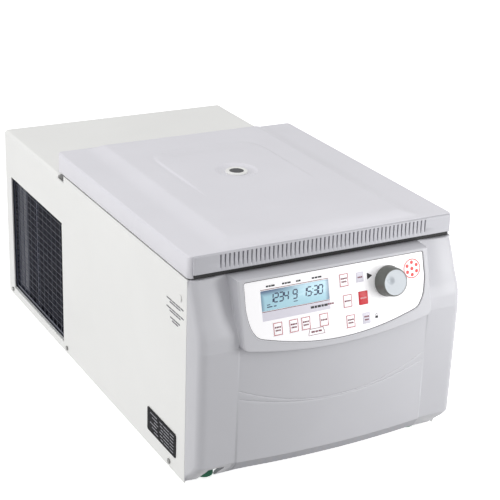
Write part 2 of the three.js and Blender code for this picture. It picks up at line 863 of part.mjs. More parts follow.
// Motor inverter: a board with a finned heat sink and two capacitors.
function powerBoard() {
  const fins = Array.from({ length: 7 }, (_, i) => {
    const y = 501 + i * 12;
    return block([150, y, 60], [180, y + 4, 150]);
  });
  const capacitors = [90, 130].map((z) => rodX(16, 140, 181, 618, z));
  return joined(
    block([180, 490, 50], [184, 660, 220]),
    block([176, 496, 56], [181, 580, 154]),
    ...fins,
    ...capacitors,
    block([183, 500, 60], [190, 508, 70]),
  );
}
part("power_board", powerBoard(), BOARD_GREEN);

// Mains module: appliance inlet on the left, rocker switch on the right.
const ROCKER = { x: INLET.x + 14, halfWidth: 8, halfHeight: 10.5, pivotY: 715 };
function mainsModule() {
  const { x, z, width, height } = INLET;
  const flangeY = 718.5 + GAP;
  const body = joined(
    block(
      [x - width / 2 + GAP, 694, z - height / 2 + GAP],
      [x + width / 2 - GAP, 719, z + height / 2 - GAP],
    ),
    prismY(
      roundedRectangle(
        x - width / 2 - 5,
        z - height / 2 - 4,
        x + width / 2 + 5,
        z + height / 2 + 4,
        3,
      ),
      flangeY,
      flangeY + 2,
    ),
  );
  return cut(
    body,
    block([x - 25, 703, z - 8.5], [x - 1, 730, z + 8.5]),
    block(
      [ROCKER.x - ROCKER.halfWidth, 706, z - ROCKER.halfHeight],
      [ROCKER.x + ROCKER.halfWidth, 730, z + ROCKER.halfHeight],
    ),
  );
}
part("mains_module", mainsModule(), DARK_PLASTIC);

// Rocker, resting with its lower half pressed in. It turns about X.
const ROCKER_REST = -8;
function mainsRocker() {
  const halfWidth = ROCKER.halfWidth - 0.5;
  const outline = [
    [0, -9.4],
    [3.6, -9.4],
    [5.4, 0],
    [3.6, 9.4],
    [0, 9.4],
    [-6, 4],
    [-6, -4],
  ];
  return prismX(outline, -halfWidth, halfWidth)
    .rotateX(THREE.MathUtils.degToRad(ROCKER_REST))
    .translate(ROCKER.x, ROCKER.pivotY, INLET.z);
}
part("mains_rocker", mainsRocker(), RUBBER);

// ---- Lid -------------------------------------------------------------------
const PLATEAU = { halfWidth: 158, y0: 3, y1: 463, slope: 22, pocketInset: 24 };
const WINDOW = { radius: 13, z0: 309, z1: 340.6 };
const INNER_PLATE = { halfWidth: 199, y0: 12, y1: 428, z0: 306.4, z1: 308.4 };

function lidCover() {
  const { front, back, lowerZ, sideTopZ, plateauZ, wall, cornerRadius } = LID;
  const w = CABINET.halfWidth;
  const slab = prism(roundedRectangle(-w, front, w, back, cornerRadius), lowerZ, sideTopZ);
  const { halfWidth, y0, y1, slope, pocketInset } = PLATEAU;
  const rise = plateauZ - sideTopZ;
  const outline = roundedRectangle(slope - halfWidth, y0 + slope, halfWidth - slope, y1 - slope, 6);
  const raised = new THREE.ExtrudeGeometry(
    new THREE.Shape(outline.map(([x, y]) => new THREE.Vector2(x, y))),
    { depth: 1, bevelThickness: rise, bevelSize: slope, bevelSegments: 1 },
  ).translate(0, 0, sideTopZ - 1);
  const boss = rod(WINDOW.radius + 4, WINDOW.z0 + 2, plateauZ - 1, 0, CHAMBER.y, 24);
  const shell = cut(
    joined(slab, raised),
    block([wall - w, front + wall, lowerZ - 3], [w - wall, back - wall, sideTopZ - wall]),
    block(
      [pocketInset - halfWidth, y0 + pocketInset, lowerZ],
      [halfWidth - pocketInset, y1 - pocketInset, plateauZ - wall],
    ),
  );
  const dish = [
    [0, plateauZ - 1.9],
    [WINDOW.radius + 1, plateauZ - 1.7],
    [38, plateauZ + 0.2],
    [38, plateauZ + 3],
    [0, plateauZ + 3],
  ];
  return cut(
    joined(shell, boss),
    turned(dish, 0, CHAMBER.y, 32),
    rod(WINDOW.radius + GAP, WINDOW.z0 - 3, plateauZ + 3, 0, CHAMBER.y, 24),
  );
}
part("lid_cover", lidCover(), LID_PLASTIC);
part("lid_window", rod(WINDOW.radius, WINDOW.z0, WINDOW.z1, 0, CHAMBER.y, 24), GLASS);

// Trim strip across the front of the lid, with upright ribs between its plain ends.
const STRIP = { halfWidth: 199, y0: -7.5, z0: 309, z1: 334, ribs: 50, pitch: 6.4, groove: 2.2 };
function lidFrontStrip() {
  const outline = [
    [STRIP.halfWidth, LID.front - GAP],
    [-STRIP.halfWidth, LID.front - GAP],
    [-STRIP.halfWidth, STRIP.y0 + 1.5],
    [1.5 - STRIP.halfWidth, STRIP.y0],
  ];
  const first = -(STRIP.ribs * STRIP.pitch) / 2;
  for (let i = 0; i <= STRIP.ribs; i += 1) {
    const x = first + i * STRIP.pitch;
    const half = STRIP.groove / 2;
    outline.push([x - half, STRIP.y0], [x - half + 0.6, STRIP.y0 + 2]);
    outline.push([x + half - 0.6, STRIP.y0 + 2], [x + half, STRIP.y0]);
  }
  outline.push([STRIP.halfWidth - 1.5, STRIP.y0], [STRIP.halfWidth, STRIP.y0 + 1.5]);
  return prism(outline, STRIP.z0, STRIP.z1);
}
part("lid_front_strip", lidFrontStrip(), LID_PLASTIC);

part(
  "lid_inner_plate",
  cut(
    prism(
      roundedRectangle(
        -INNER_PLATE.halfWidth,
        INNER_PLATE.y0,
        INNER_PLATE.halfWidth,
        INNER_PLATE.y1,
        8,
      ),
      INNER_PLATE.z0,
      INNER_PLATE.z1,
    ),
    rod(WINDOW.radius + 3, 300, 312, 0, CHAMBER.y, 24),
  ),
  STEEL,
);

// Striker under the lid's front, which drops through the deck's slot to the latch hook.
const STRIKER = { halfWidth: 10, y0: 42, y1: 45, z0: 276 };
const STRIKER_HOLE = { halfWidth: 6.5, z0: 280, z1: 295 };
part(
  "lid_striker",
  cut(
    joined(
      block([-STRIKER.halfWidth, STRIKER.y0, STRIKER.z0], [STRIKER.halfWidth, STRIKER.y1, 305]),
      block([-16, STRIKER.y0, 303.4], [16, STRIKER.y1 + 14, INNER_PLATE.z0 - GAP]),
    ),
    block(
      [-STRIKER_HOLE.halfWidth, STRIKER.y0 - 3, STRIKER_HOLE.z0],
      [STRIKER_HOLE.halfWidth, STRIKER.y1 + 3, STRIKER_HOLE.z1],
    ),
  ),
  STEEL,
);

// Hook that locks the lid. It rests swung back, clear of the striker.
function latchHook() {
  return joined(
    block([-4, -3, -6], [4, 3, 28]),
    block([-4, -20, 20], [4, -2, 27]),
    rodX(LATCH.pinRadius, -LATCH.cheek - 3, LATCH.cheek + 3, 0, 0, 16),
  )
    .rotateX(THREE.MathUtils.degToRad(-LATCH.travel))
    .translate(0, LATCH.y, LATCH.z);
}
part("latch_hook", latchHook(), STEEL);
part(
  "latch_housing",
  cut(
    block(
      [-LATCH.cheek - 3, LATCH.y - 10, 250],
      [LATCH.cheek + 3, LATCH.y + 20, DECK.top - DECK.sheet - GAP],
    ),
    block([-LATCH.cheek, LATCH.y - 20, 253], [LATCH.cheek, LATCH.y + 17, 310]),
    rodX(LATCH.pinRadius + GAP, -20, 20, LATCH.y, LATCH.z, 16),
  ),
  DARK_PLASTIC,
);

// Hinge: two ears stand in the trough. A frame under the lid's rear edge straddles each ear with
// a pair of cheeks, and one long rod passes through all of them.
const EAR_HALF = 5;
const CLEVIS = { inner: 6, outer: 16, y0: 444, y1: 459.5, z0: 302, bridgeZ: 322 };
for (const [sideName, side] of Object.entries(SIDES)) {
  const x = side * HINGE.x;
  const ear = cut(
    joined(
      block([x - EAR_HALF, 435, TROUGH.floorZ + TROUGH.sheet + GAP], [x + EAR_HALF, 442, 314]),
      block([x - EAR_HALF, 436, HINGE.z - 7], [x + EAR_HALF, HINGE.y, HINGE.z + 7]),
      rodX(7.5, x - EAR_HALF, x + EAR_HALF, HINGE.y, HINGE.z, 20),
    ),
    rodX(HINGE.pinRadius + GAP, x - 20, x + 20, HINGE.y, HINGE.z, 20),
  );
  part(`hinge_ear_${sideName}`, ear, STEEL);
}

function lidHingeFrame() {
  const top = LID.sideTopZ - LID.wall - GAP;
  const { inner, outer, y0, y1, z0, bridgeZ } = CLEVIS;
  const reach = HINGE.x + outer;
  const cheeks = Object.values(SIDES).flatMap((side) =>
    [-1, 1].map((flank) => {
      const [near, far] = [side * HINGE.x + flank * inner, side * HINGE.x + flank * outer];
      return block([Math.min(near, far), y0, z0], [Math.max(near, far), y1, bridgeZ + 1]);
    }),
  );
  return cut(
    joined(block([-reach, y0, bridgeZ], [reach, y1, top]), ...cheeks),
    rodX(HINGE.pinRadius + GAP, -reach - 5, reach + 5, HINGE.y, HINGE.z, 20),
  );
}
part("lid_hinge_frame", lidHingeFrame(), STEEL);
const rodEnd = HINGE.x + CLEVIS.outer + 2;
part("hinge_rod", rodX(HINGE.pinRadius, -rodEnd, rodEnd, HINGE.y, HINGE.z, 20), STEEL);

machine.position.set(0, -CENTRE_Y, FOOT_DROP);

export default machine;
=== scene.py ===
import json
import math

import bmesh
import bpy
from mathutils import Matrix, Vector


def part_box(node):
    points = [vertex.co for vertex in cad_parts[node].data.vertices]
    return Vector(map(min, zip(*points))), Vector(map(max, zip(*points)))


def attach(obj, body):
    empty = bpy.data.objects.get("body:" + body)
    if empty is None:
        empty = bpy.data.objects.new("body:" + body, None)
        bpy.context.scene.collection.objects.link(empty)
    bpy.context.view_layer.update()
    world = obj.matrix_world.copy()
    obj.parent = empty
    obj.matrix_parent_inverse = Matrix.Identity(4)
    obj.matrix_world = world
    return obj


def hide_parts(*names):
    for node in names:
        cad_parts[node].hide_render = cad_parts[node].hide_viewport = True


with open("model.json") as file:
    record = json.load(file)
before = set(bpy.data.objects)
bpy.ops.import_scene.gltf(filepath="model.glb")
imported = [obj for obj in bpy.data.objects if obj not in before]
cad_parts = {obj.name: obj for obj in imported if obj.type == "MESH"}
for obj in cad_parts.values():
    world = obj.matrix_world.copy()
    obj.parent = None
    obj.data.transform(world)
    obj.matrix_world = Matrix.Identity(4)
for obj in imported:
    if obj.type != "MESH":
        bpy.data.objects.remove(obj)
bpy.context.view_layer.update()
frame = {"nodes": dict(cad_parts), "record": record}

MM = 0.001
NODES = frame["nodes"]

# The seam between cabinet and fascia, and the cabinet's lower edge, in the row frame.
SEAM_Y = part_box("housing_wrap")[0].y - 0.3 * MM
BASE_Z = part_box("housing_wrap")[0].z


def at(x, y, z):
    """A point given in millimetres from the seam plane and the cabinet's lower edge."""
    return Vector((x * MM, SEAM_Y + y * MM, BASE_Z + z * MM))


# ---- Camera, floor and light ----
# The photo's camera in cabinet millimetres: its place, the way it looks, its roll and its lens.
CAMERA_PLACE = (-931.1, -1493.6, 1017.6)
CAMERA_FORWARD = (0.4445, 0.8134, -0.3752)
CAMERA_ROLL = 1.909
LENS, SENSOR = 101.39, 36
# The sky's grey straight down, level and straight up, and its strength.
SKY_LOW, SKY_LEVEL, SKY_ZENITH, SKY_POWER = 0.12, 0.37, 0.73, 1.33
LEFT_POWER, RIGHT_POWER = 17.2, 2.9
FLOOR_REACH, FLOOR_GLOW = 45, 0.75


def settle(node, **values):
    """Sets a node's input sockets. An underscore stands for a space in a socket's name."""
    for name, value in values.items():
        node.inputs[name.replace("_", " ")].default_value = value
    return node


def link(obj):
    bpy.context.scene.collection.objects.link(obj)
    return obj


def make_camera():
    data = bpy.data.cameras.new("camera")
    data.lens, data.sensor_width = LENS, SENSOR
    data.clip_start, data.clip_end = 0.05, 50
    cam = link(bpy.data.objects.new("camera", data))
    forward = Vector(CAMERA_FORWARD).normalized()
    right = forward.cross(Vector((0, 0, 1))).normalized()
    up = right.cross(forward)
    roll = math.radians(CAMERA_ROLL)
    x_axis = math.cos(roll) * right + math.sin(roll) * up
    y_axis = -math.sin(roll) * right + math.cos(roll) * up
    axes = Matrix((x_axis, y_axis, -forward)).transposed().to_4x4()
    cam.matrix_world = Matrix.Translation(at(*CAMERA_PLACE)) @ axes
    bpy.context.scene.camera = cam


def area_light(name, place, target, size, power):
    data = bpy.data.lights.new(name, "AREA")
    data.shape = "RECTANGLE"
    data.size, data.size_y = size
    data.energy = power
    lamp = link(bpy.data.objects.new(name, data))
    lamp.location = place
    lamp.rotation_mode = "QUATERNION"
    lamp.rotation_quaternion = (Vector(target) - Vector(place)).to_track_quat("-Z", "Y")


def make_floor():
    """White paper that glows a little and throws no light on the machine."""
    reach = FLOOR_REACH
    mesh = bpy.data.meshes.new("floor")
    corners = [(-reach, -reach, 0), (reach, -reach, 0), (reach, reach, 0), (-reach, reach, 0)]
    mesh.from_pydata(corners, [], [(0, 1, 2, 3)])
    floor = link(bpy.data.objects.new("floor", mesh))
    paint = bpy.data.materials.new("floor_paper")
    paint.use_nodes = True
    settle(paint.node_tree.nodes["Principled BSDF"], Base_Color=(0.93, 0.93, 0.93, 1), Roughness=0.9,
           Emission_Color=(1, 1, 1, 1), Emission_Strength=FLOOR_GLOW)
    mesh.materials.append(paint)
    floor.visible_diffuse = False


def make_sky():
    """A grey sky that brightens upwards."""
    world = bpy.data.worlds.new("studio")
    world.use_nodes = True
    tree = world.node_tree
    wire = tree.links.new
    where = tree.nodes.new("ShaderNodeTexCoord")
    split = tree.nodes.new("ShaderNodeSeparateXYZ")
    height = settle(tree.nodes.new("ShaderNodeMapRange"), From_Min=-1)
    sky = tree.nodes.new("ShaderNodeValToRGB")
    low, high = sky.color_ramp.elements
    low.position, low.color = 0.0, (*[SKY_LOW] * 3, 1)
    high.position, high.color = 1.0, (*[SKY_ZENITH] * 3, 1)
    sky.color_ramp.elements.new(0.5).color = (*[SKY_LEVEL] * 3, 1)
    wire(where.outputs["Generated"], split.inputs["Vector"])
    wire(split.outputs["Z"], height.inputs["Value"])
    wire(height.outputs["Result"], sky.inputs["Fac"])
    back = settle(tree.nodes["Background"], Strength=SKY_POWER)
    wire(sky.outputs["Color"], back.inputs["Color"])
    bpy.context.scene.world = world


make_camera()
make_floor()
make_sky()
area_light("left", (-2.2, 0.1, 0.9), (-0.2, 0, 0.15), (1.4, 1.2), LEFT_POWER)
area_light("right", (0.5, -0.85, 0.36), (0.14, -0.37, 0.2), (0.4, 0.4), RIGHT_POWER)
bpy.context.scene.view_settings.view_transform = "Standard"


# ---- Materials ----
# Noise scale of the colour clouds, a gloss patch's size in grains, and the grain's depth in metres.
CLOUD_SCALE, GLOSS_PATCH, GRAIN_DEPTH = 9, 18, 0.0004


def linear(rgb):
    """An sRGB colour of 0 to 255 in the renderer's linear light."""
    shares = [c / 255 for c in rgb]
    return tuple(c / 12.92 if c <= 0.04045 else ((c + 0.055) / 1.055) ** 2.4 for c in shares)


def finish_of(name, rgb, rough, metal=0.0, grain=1500.0, bump=0.05, cloud=0.03, stretch=(1, 1, 1),
              rough_spread=0.06, specular=0.5, glow=0.0):
    """A procedural finish: cloudy colour, uneven gloss and a fine surface grain, sized in metres."""
    made = bpy.data.materials.new(name)
    made.use_nodes = True
    tree = made.node_tree
    wire = tree.links.new
    base = linear(rgb)
    shader = settle(tree.nodes["Principled BSDF"], Metallic=metal, Emission_Color=(*base, 1),
                    Emission_Strength=glow, Specular_IOR_Level=specular)
    where = tree.nodes.new("ShaderNodeTexCoord")
    scaled = settle(tree.nodes.new("ShaderNodeMapping"), Scale=stretch)
    wire(where.outputs["Object"], scaled.inputs["Vector"])

    def noise(scale, detail):
        node = settle(tree.nodes.new("ShaderNodeTexNoise"), Scale=scale, Detail=detail)
        wire(scaled.outputs["Vector"], node.inputs["Vector"])
        return node.outputs["Fac"]

    tint = tree.nodes.new("ShaderNodeValToRGB")
    darker, lighter = tint.color_ramp.elements
    darker.position, darker.color = 0.3, (*[c * (1 - cloud) for c in base], 1)
    lighter.position, lighter.color = 0.7, (*[min(1, c * (1 + cloud)) for c in base], 1)
    wire(noise(CLOUD_SCALE, 3), tint.inputs["Fac"])
    wire(tint.outputs["Color"], shader.inputs["Base Color"])
    gloss = settle(tree.nodes.new("ShaderNodeMapRange"), To_Min=max(0.02, rough - rough_spread),
                   To_Max=min(1, rough + rough_spread))
    wire(noise(grain / GLOSS_PATCH, 4), gloss.inputs["Value"])
    wire(gloss.outputs["Result"], shader.inputs["Roughness"])
    relief = settle(tree.nodes.new("ShaderNodeBump"), Strength=bump, Distance=GRAIN_DEPTH)
    wire(noise(grain, 2), relief.inputs["Height"])
    wire(relief.outputs["Normal"], shader.inputs["Normal"])
    return made


FINISH = {
    "white_metal": finish_of("powder_coat", (238, 238, 236), 0.45, grain=900, bump=0.10, cloud=0.012),
    "lid_plastic": finish_of("lid_moulding", (225, 224, 230), 0.42, grain=1600, bump=0.06, cloud=0.015),
    "fascia_plastic": finish_of("fascia_moulding", (195, 195, 200), 0.42, grain=1600, bump=0.06, cloud=0.02),
    "dark_plastic": finish_of("dark_moulding", (34, 36, 44), 0.5, bump=0.08, cloud=0.08),
    "knob_plastic": finish_of("knob_moulding", (96, 98, 94), 0.4, grain=1800, bump=0.06, cloud=0.04),
    # Painted light: the key film and its caps glow a little, so they read brighter than the lamps alone make
    # them.
    "key_plastic": finish_of("key_film_painted_glow", (248, 247, 249), 0.4, grain=2600, bump=0.04, cloud=0.008, glow=0.13),
    "stop_plastic": finish_of("stop_film", (205, 30, 45), 0.4, grain=2600, bump=0.04),
    "steel": finish_of("brushed_steel", (186, 188, 190), 0.32, 1.0, grain=700, bump=0.12, cloud=0.05,
                       stretch=(1, 1, 0.06), rough_spread=0.1),
    "aluminium": finish_of("satin_aluminium", (198, 201, 204), 0.36, 1.0, grain=1200, bump=0.08, cloud=0.05),
    "copper": finish_of("copper_tube", (184, 115, 72), 0.34, 1.0, grain=500, bump=0.08, cloud=0.12),
    "rubber": finish_of("black_rubber", (30, 30, 31), 0.75, grain=1300, bump=0.2, cloud=0.1),
    "green_rubber": finish_of("green_rubber", (28, 108, 78), 0.7, grain=1300, bump=0.2, cloud=0.1),
    "black_paint": finish_of("black_enamel", (26, 26, 28), 0.4, grain=900, bump=0.1, cloud=0.1),
    "foam": finish_of("foam_skin", (226, 218, 190), 0.85, grain=400, bump=0.4, cloud=0.06),
    "circuit_board": finish_of("board_laminate", (30, 88, 54), 0.45, grain=900, bump=0.1, cloud=0.1),
    "dark_glass": finish_of("smoked_glass", (20, 21, 30), 0.08, grain=300, bump=0.01, cloud=0.02,
                            rough_spread=0.02),
    "lcd": finish_of("lcd_glass", (170, 210, 224), 0.2, grain=2000, bump=0.01, cloud=0.02, glow=0.12),
}

SLOT_OF = {entry["node"]: entry["material_slot"] for entry in frame["record"]["subparts"]}


def ink(name, rgb, cloud=0.1):
    return finish_of(name, rgb, 0.5, grain=2600, bump=0.02, cloud=cloud)


PRINT_BLACK = ink("print_black", (24, 22, 28))
PRINT_RED = ink("print_red", (176, 38, 60), 0.06)
PRINT_PINK = ink("print_pink", (226, 168, 172), 0.04)
PRINT_MAROON = ink("print_maroon", (112, 36, 54))
PRINT_GREY = ink("print_grey", (148, 148, 156), 0.06)
NOTICE_GREY = ink("notice_grey", (84, 84, 90))
LCD_INK = finish_of("lcd_ink", (34, 50, 84), 0.4, grain=2600, bump=0.01, cloud=0.1)
EMBLEM_RED = finish_of("emblem_red", (222, 38, 36), 0.42, grain=2600, bump=0.02, cloud=0.04)
# Painted shade: the grip strip is the lid's plastic darkened, as its face turns to the front, away from the
# lamps.
STRIP_FRONT_SHADE = finish_of("grip_strip", (190, 190, 196), 0.42, grain=1600, bump=0.06, cloud=0.02)
# Painted shade: a darker grey on the grooves' faces stands in for the shade deep in the grooves.
GROOVE_PAINTED_SHADE = finish_of("grip_groove_painted_shade", (138, 138, 146), 0.5, grain=1600, bump=0.06, cloud=0.04)
# Painted shade: the fascia's plastic darkened for the bulge's slanting lower face, which turns down, away
# from the lamps.
FASCIA_CHIN_PAINTED_SHADE = finish_of("fascia_chin_painted_shade", (172, 172, 178), 0.5, grain=1600, bump=0.06, cloud=0.02)
KEY_PALE = finish_of("key_pale", (222, 219, 230), 0.4, grain=2600, bump=0.04, cloud=0.01)
KNOB_FACE = finish_of("knob_face", (192, 198, 204), 0.36, grain=1800, bump=0.04, cloud=0.02)
PLATE_BLACK = finish_of("plate_black", (20, 20, 24), 0.75, cloud=0.1, specular=0.15)
HEADER_GREY = finish_of("header_rail", (92, 96, 112), 0.4, 0.3, grain=900, bump=0.1, cloud=0.1)
SCREW_DARK = finish_of("screw_zinc", (128, 128, 126), 0.42, 0.8, grain=900, bump=0.1, cloud=0.1)
WIRE_DARK = finish_of("guard_wire", (50, 53, 68), 0.42, 0.2, grain=900, bump=0.1, cloud=0.1)
FIN_DARK = finish_of("coated_fin", (34, 36, 52), 0.5, 0.3, grain=900, bump=0.1, cloud=0.15)


# ---- Mesh helpers ----
def smooth(t):
    t = min(1.0, max(0.0, t))
    return t * t * (3 - 2 * t)


def soft_max(a, b, k):
    h = max(k - abs(a - b), 0) / k
    return max(a, b) + h * h * k / 4


def soft_min(a, b, k):
    return -soft_max(-a, -b, k)


def table_value(table, t):
    """Straight-line value from (t, value) pairs that run downwards in t."""
    if t >= table[0][0]:
        return table[0][1]
    for (t0, v0), (t1, v1) in zip(table, table[1:]):
        if t >= t1:
            return v1 + (v0 - v1) * (t - t1) / (t0 - t1)
    return table[-1][1]


def rounding(depth, radius):
    """How far a rounded edge falls back at this distance in from it."""
    if depth >= radius:
        return 0.0
    inner = radius - max(0.0, depth)
    return radius - math.sqrt(max(0.0, radius * radius - inner * inner))


def turns(steps):
    """Evenly spaced angles of one full turn."""
    return [2 * math.pi * k / steps for k in range(steps)]


def mesh_of(name, points, faces, finishes, indices=None):
    mesh = bpy.data.meshes.new(name)
    mesh.from_pydata([tuple(p) for p in points], [], faces)
    for made in finishes:
        mesh.materials.append(made)
    if indices:
        mesh.polygons.foreach_set("material_index", indices)
    mesh.validate()
    return mesh


def tidy_mesh(mesh, angle=35):
    """One clean closed mesh: doubles joined, faces outwards, shading smooth up to an angle."""
    work = bmesh.new()
    work.from_mesh(mesh)
    bmesh.ops.remove_doubles(work, verts=work.verts, dist=2e-6)
    bmesh.ops.dissolve_degenerate(work, edges=work.edges, dist=1e-6)
    bmesh.ops.recalc_face_normals(work, faces=work.faces)
    if work.calc_volume(signed=True) < 0:
        bmesh.ops.reverse_faces(work, faces=work.faces)
    work.to_mesh(mesh)
    work.free()
    mesh.polygons.foreach_set("use_smooth", [True] * len(mesh.polygons))
    mesh.set_sharp_from_angle(angle=math.radians(angle))


def piece(name, mesh, body, stands_for, angle=35):
    """A piece that rides on a body, and stands for CAD nodes if any are named."""
    tidy_mesh(mesh, angle)
    obj = link(bpy.data.objects.new(name, mesh))
    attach(obj, body)
    if stands_for:
        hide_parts(*stands_for)
    return obj


def add_piece(name, shape, body, slot, stands_for=(), finish=None):
    """A piece of one finish, from its points and faces. The slot's own finish, if no other is named."""
    return piece(name, mesh_of(name, *shape, [finish or FINISH[slot]]), body, stands_for)


def round_off(obj, width, segments=3, angle=35):
    bevel = obj.modifiers.new("round_edges", "BEVEL")
    bevel.width = width * MM
    bevel.segments = segments
    bevel.limit_method = "ANGLE"
    bevel.angle_limit = math.radians(angle)
    bevel.use_clamp_overlap = True
    return obj


def cut_away(obj, *shapes):
    """Subtracts closed shapes from obj, for good."""
    for shape in shapes:
        cutter = mesh_of("cutter", *shape, [])
        tidy_mesh(cutter)
        tool = link(bpy.data.objects.new("cutter", cutter))
        boolean = obj.modifiers.new("cut", "BOOLEAN")
        boolean.operation = "DIFFERENCE"
        boolean.solver = "FAST"
        boolean.object = tool
        bpy.context.view_layer.update()
        graph = bpy.context.evaluated_depsgraph_get()
        result = bpy.data.meshes.new_from_object(obj.evaluated_get(graph))
        obj.modifiers.remove(boolean)
        obj.data = result
        bpy.data.objects.remove(tool)
    tidy_mesh(obj.data)


def perimeter(n, m):
    """The grid places round the edge of an n by m grid, in order."""
    there = [(i, 0) for i in range(n)] + [(n - 1, j) for j in range(1, m)]
    back = [(i, m - 1) for i in range(n - 2, -1, -1)] + [(0, j) for j in range(m - 2, 0, -1)]
    return there + back


def shell(front, rings, back):
    """A closed solid: a front grid, rings of points round its edge, and a back grid alike."""
    n, m = len(front), len(front[0])
    points = [p for column in front for p in column]
    cells = [i * m + j for i in range(n - 1) for j in range(m - 1)]
    faces = [(k, k + 1, k + m + 1, k + m) for k in cells]
    edge = perimeter(n, m)
    loops = [[i * m + j for i, j in edge]]
    for ring in rings:
        start = len(points)
        points += ring
        loops.append(list(range(start, start + len(edge))))
    start = len(points)
    points += [p for column in back for p in column]
    faces += [(start + k, start + k + m, start + k + m + 1, start + k + 1) for k in cells]
    loops.append([start + i * m + j for i, j in edge])
    for a, b in zip(loops, loops[1:]):
        for k in range(len(edge)):
            after = (k + 1) % len(edge)
            faces.append((a[k], b[k], b[after], a[after]))
    return points, faces


def second_finish(columns, rows, faces, chosen):
    """Material indices of a shell's faces: 1 on its front where chosen(column, row) holds."""
    front = (columns - 1) * (rows - 1)
    return [int(k < front and chosen(*divmod(k, rows - 1))) for k in range(len(faces))]


def loft(loops, closed=True, caps=False):
    """Skin over loops of points with the same count. closed joins the last loop to the first."""
    count, last = len(loops[0]), (len(loops) - 1) * len(loops[0])
    points = [p for loop in loops for p in loop]
    pairs = [(a, a + count) for a in range(0, last, count)]
    if closed:
        pairs.append((last, 0))
    faces = [(a + k, a + (k + 1) % count, b + (k + 1) % count, b + k) for a, b in pairs for k in range(count)]
    if caps:
        faces += [tuple(range(count))[::-1], tuple(range(last, last + count))]
    return points, faces


def capped(loops):
    """A closed solid over open-ended loops."""
    return loft(loops, closed=False, caps=True)


def lathe_loops(profile, place, steps):
    """Loops of a turned solid. place(x, y, h) gives the point for an offset and a height."""
    return [[place(r * math.cos(a), r * math.sin(a), h) for a in turns(steps)] for r, h in profile]


def offset_outline(outline, grow):
    """Moves each point of a counter-clockwise outline outwards by grow."""
    count = len(outline)
    moved = []
    for k in range(count):
        x0, y0 = outline[k - 1]
        x1, y1 = outline[(k + 1) % count]
        dx, dy = x1 - x0, y1 - y0
        size = math.hypot(dx, dy) or 1
        moved.append((outline[k][0] + grow * dy / size, outline[k][1] - grow * dx / size))
    return moved


def arc(cx, cy, radius, start, end, steps=5):
    """Points of an arc between two angles in degrees, both ends included."""
    angles = [math.radians(start + (end - start) * k / steps) for k in range(steps + 1)]
    return [(cx + radius * math.cos(a), cy + radius * math.sin(a)) for a in angles]


def round_rectangle(x0, y0, x1, y1, radius, steps=6):
    corners = [(x1 - radius, y0 + radius, -90), (x1 - radius, y1 - radius, 0),
               (x0 + radius, y1 - radius, 90), (x0 + radius, y0 + radius, 180)]
    return [point for cx, cy, start in corners for point in arc(cx, cy, radius, start, start + 90, steps)]


# ---- Places on the panel and on the lid ----
# The panel's lower and upper edge as (y, z).
PANEL_BASE, PANEL_TOP = (-51, 207), (-27, 300)
LEAN = math.atan2(PANEL_TOP[0] - PANEL_BASE[0], PANEL_TOP[1] - PANEL_BASE[1])
KNOB = (79.5, 60.5)
WINDOW_Y = 260  # the rotor's axis and the lid's window


def on_panel(x, s, n):
    """x across, s up the slope, n out of the panel's face."""
    y = PANEL_BASE[0] + s * math.sin(LEAN) - n * math.cos(LEAN)
    return at(x, y, PANEL_BASE[1] + s * math.cos(LEAN) + n * math.sin(LEAN))


def on_knob(x, y, h):
    return on_panel(KNOB[0] + x, KNOB[1] + y, h)


def on_axis(x, y, h):
    return at(x, WINDOW_Y + y, h)


def facing_front(x, z, y):
    return at(x, y, z)


def facing_side(y, z, x):
    return at(x, y, z)


def swept(outline, section, place=on_panel):
    """Loops of an outline grown by each (grow, height) of a section."""
    return [[place(a, b, h) for a, b in offset_outline(outline, grow)] for grow, h in section]


def spline(points, steps):
    """Smooth curve through the points, end points doubled."""
    ends = [points[0], *points, points[-1]]
    curve = []
    for k in range(1, len(ends) - 2):
        near = list(zip(*ends[k - 1:k + 3]))
        for i in range(steps):
            t = i / steps
            curve.append(tuple(
                0.5 * (2 * b + (c - a) * t + (2 * a - 5 * b + 4 * c - d) * t * t
                       + (3 * b - a - 3 * c + d) * t ** 3)
                for a, b, c, d in near
            ))
    return curve + [points[-1]]


def overlay_outline():
    """The overlay's edge, counter-clockwise: straight top, drawn-in sides, sagging lower edge."""
    half, top, radius = 139, 92.5, 3
    corner_x, corner_y, sag = 122, 16, 19.5
    right = [(half, 74), (half, 56), (half - 3.5, 36), (half - 9, 24), (corner_x, corner_y)]
    shares = [1 - i / 6 for i in range(1, 12)]
    lower = [(corner_x * share, corner_y - sag * (1 - share ** 2)) for share in shares]
    left = [(-x, y) for x, y in reversed(right)]
    top_left = arc(-half + radius, top - radius, radius, 180, 90)
    top_right = arc(half - radius, top - radius, radius, 90, 0)
    return (spline(right + lower + left, 6) + top_left + top_right)[::-1]


def flat_prism(outline, low, high, place):
    """Closed prism over an outline, between two heights along place's third value."""
    return capped([[place(x, y, h) for x, y in outline] for h in (low, high)])


# ---- Front fascia ----
# The side wings' face as (height, depth), from the top down.
WING_PROFILE = [(301, -7), (286, -14.5), (270, -21.5), (254, -28), (241, -35), (229, -39.5), (219, -40.8),
                (213, -41.6), (210, -42), (150, -41), (90, -40), (40, -39), (30, -31), (4, -2.5)]
FASCIA_TOP, FASCIA_LOW, SEAM_FACE = 301, 4, -0.3
FASCIA_HALF, FASCIA_CORNER, FASCIA_WALL = 205, 12, 3
BULGE_EDGE, BULGE_DEPTH, BULGE_SWELL = 148, 41, 9
CHIN_TOP, CHIN_LOW, CHIN_BACK = 40, 25, 9  # the bulge's slanting lower face
BEZEL_EDGE, BEZEL_LOW, BEZEL_SAG, BEZEL_STEP = 147.5, 210, 15, 2.5
SMILES = ((148, 32.5), (136, 22.5))  # two fine grooves: height at the bulge's edge, and sag
SMILE_DEPTH, SMILE_WIDTH = 0.62, 0.55
FOOT_OPENING = (-187, -30, -161, 34)  # left, lower, right and upper edge


def sag_share(x):
    """1 in the bulge's middle, 0 at its edges."""
    return 1 - min(1, abs(x) / BULGE_EDGE) ** 2


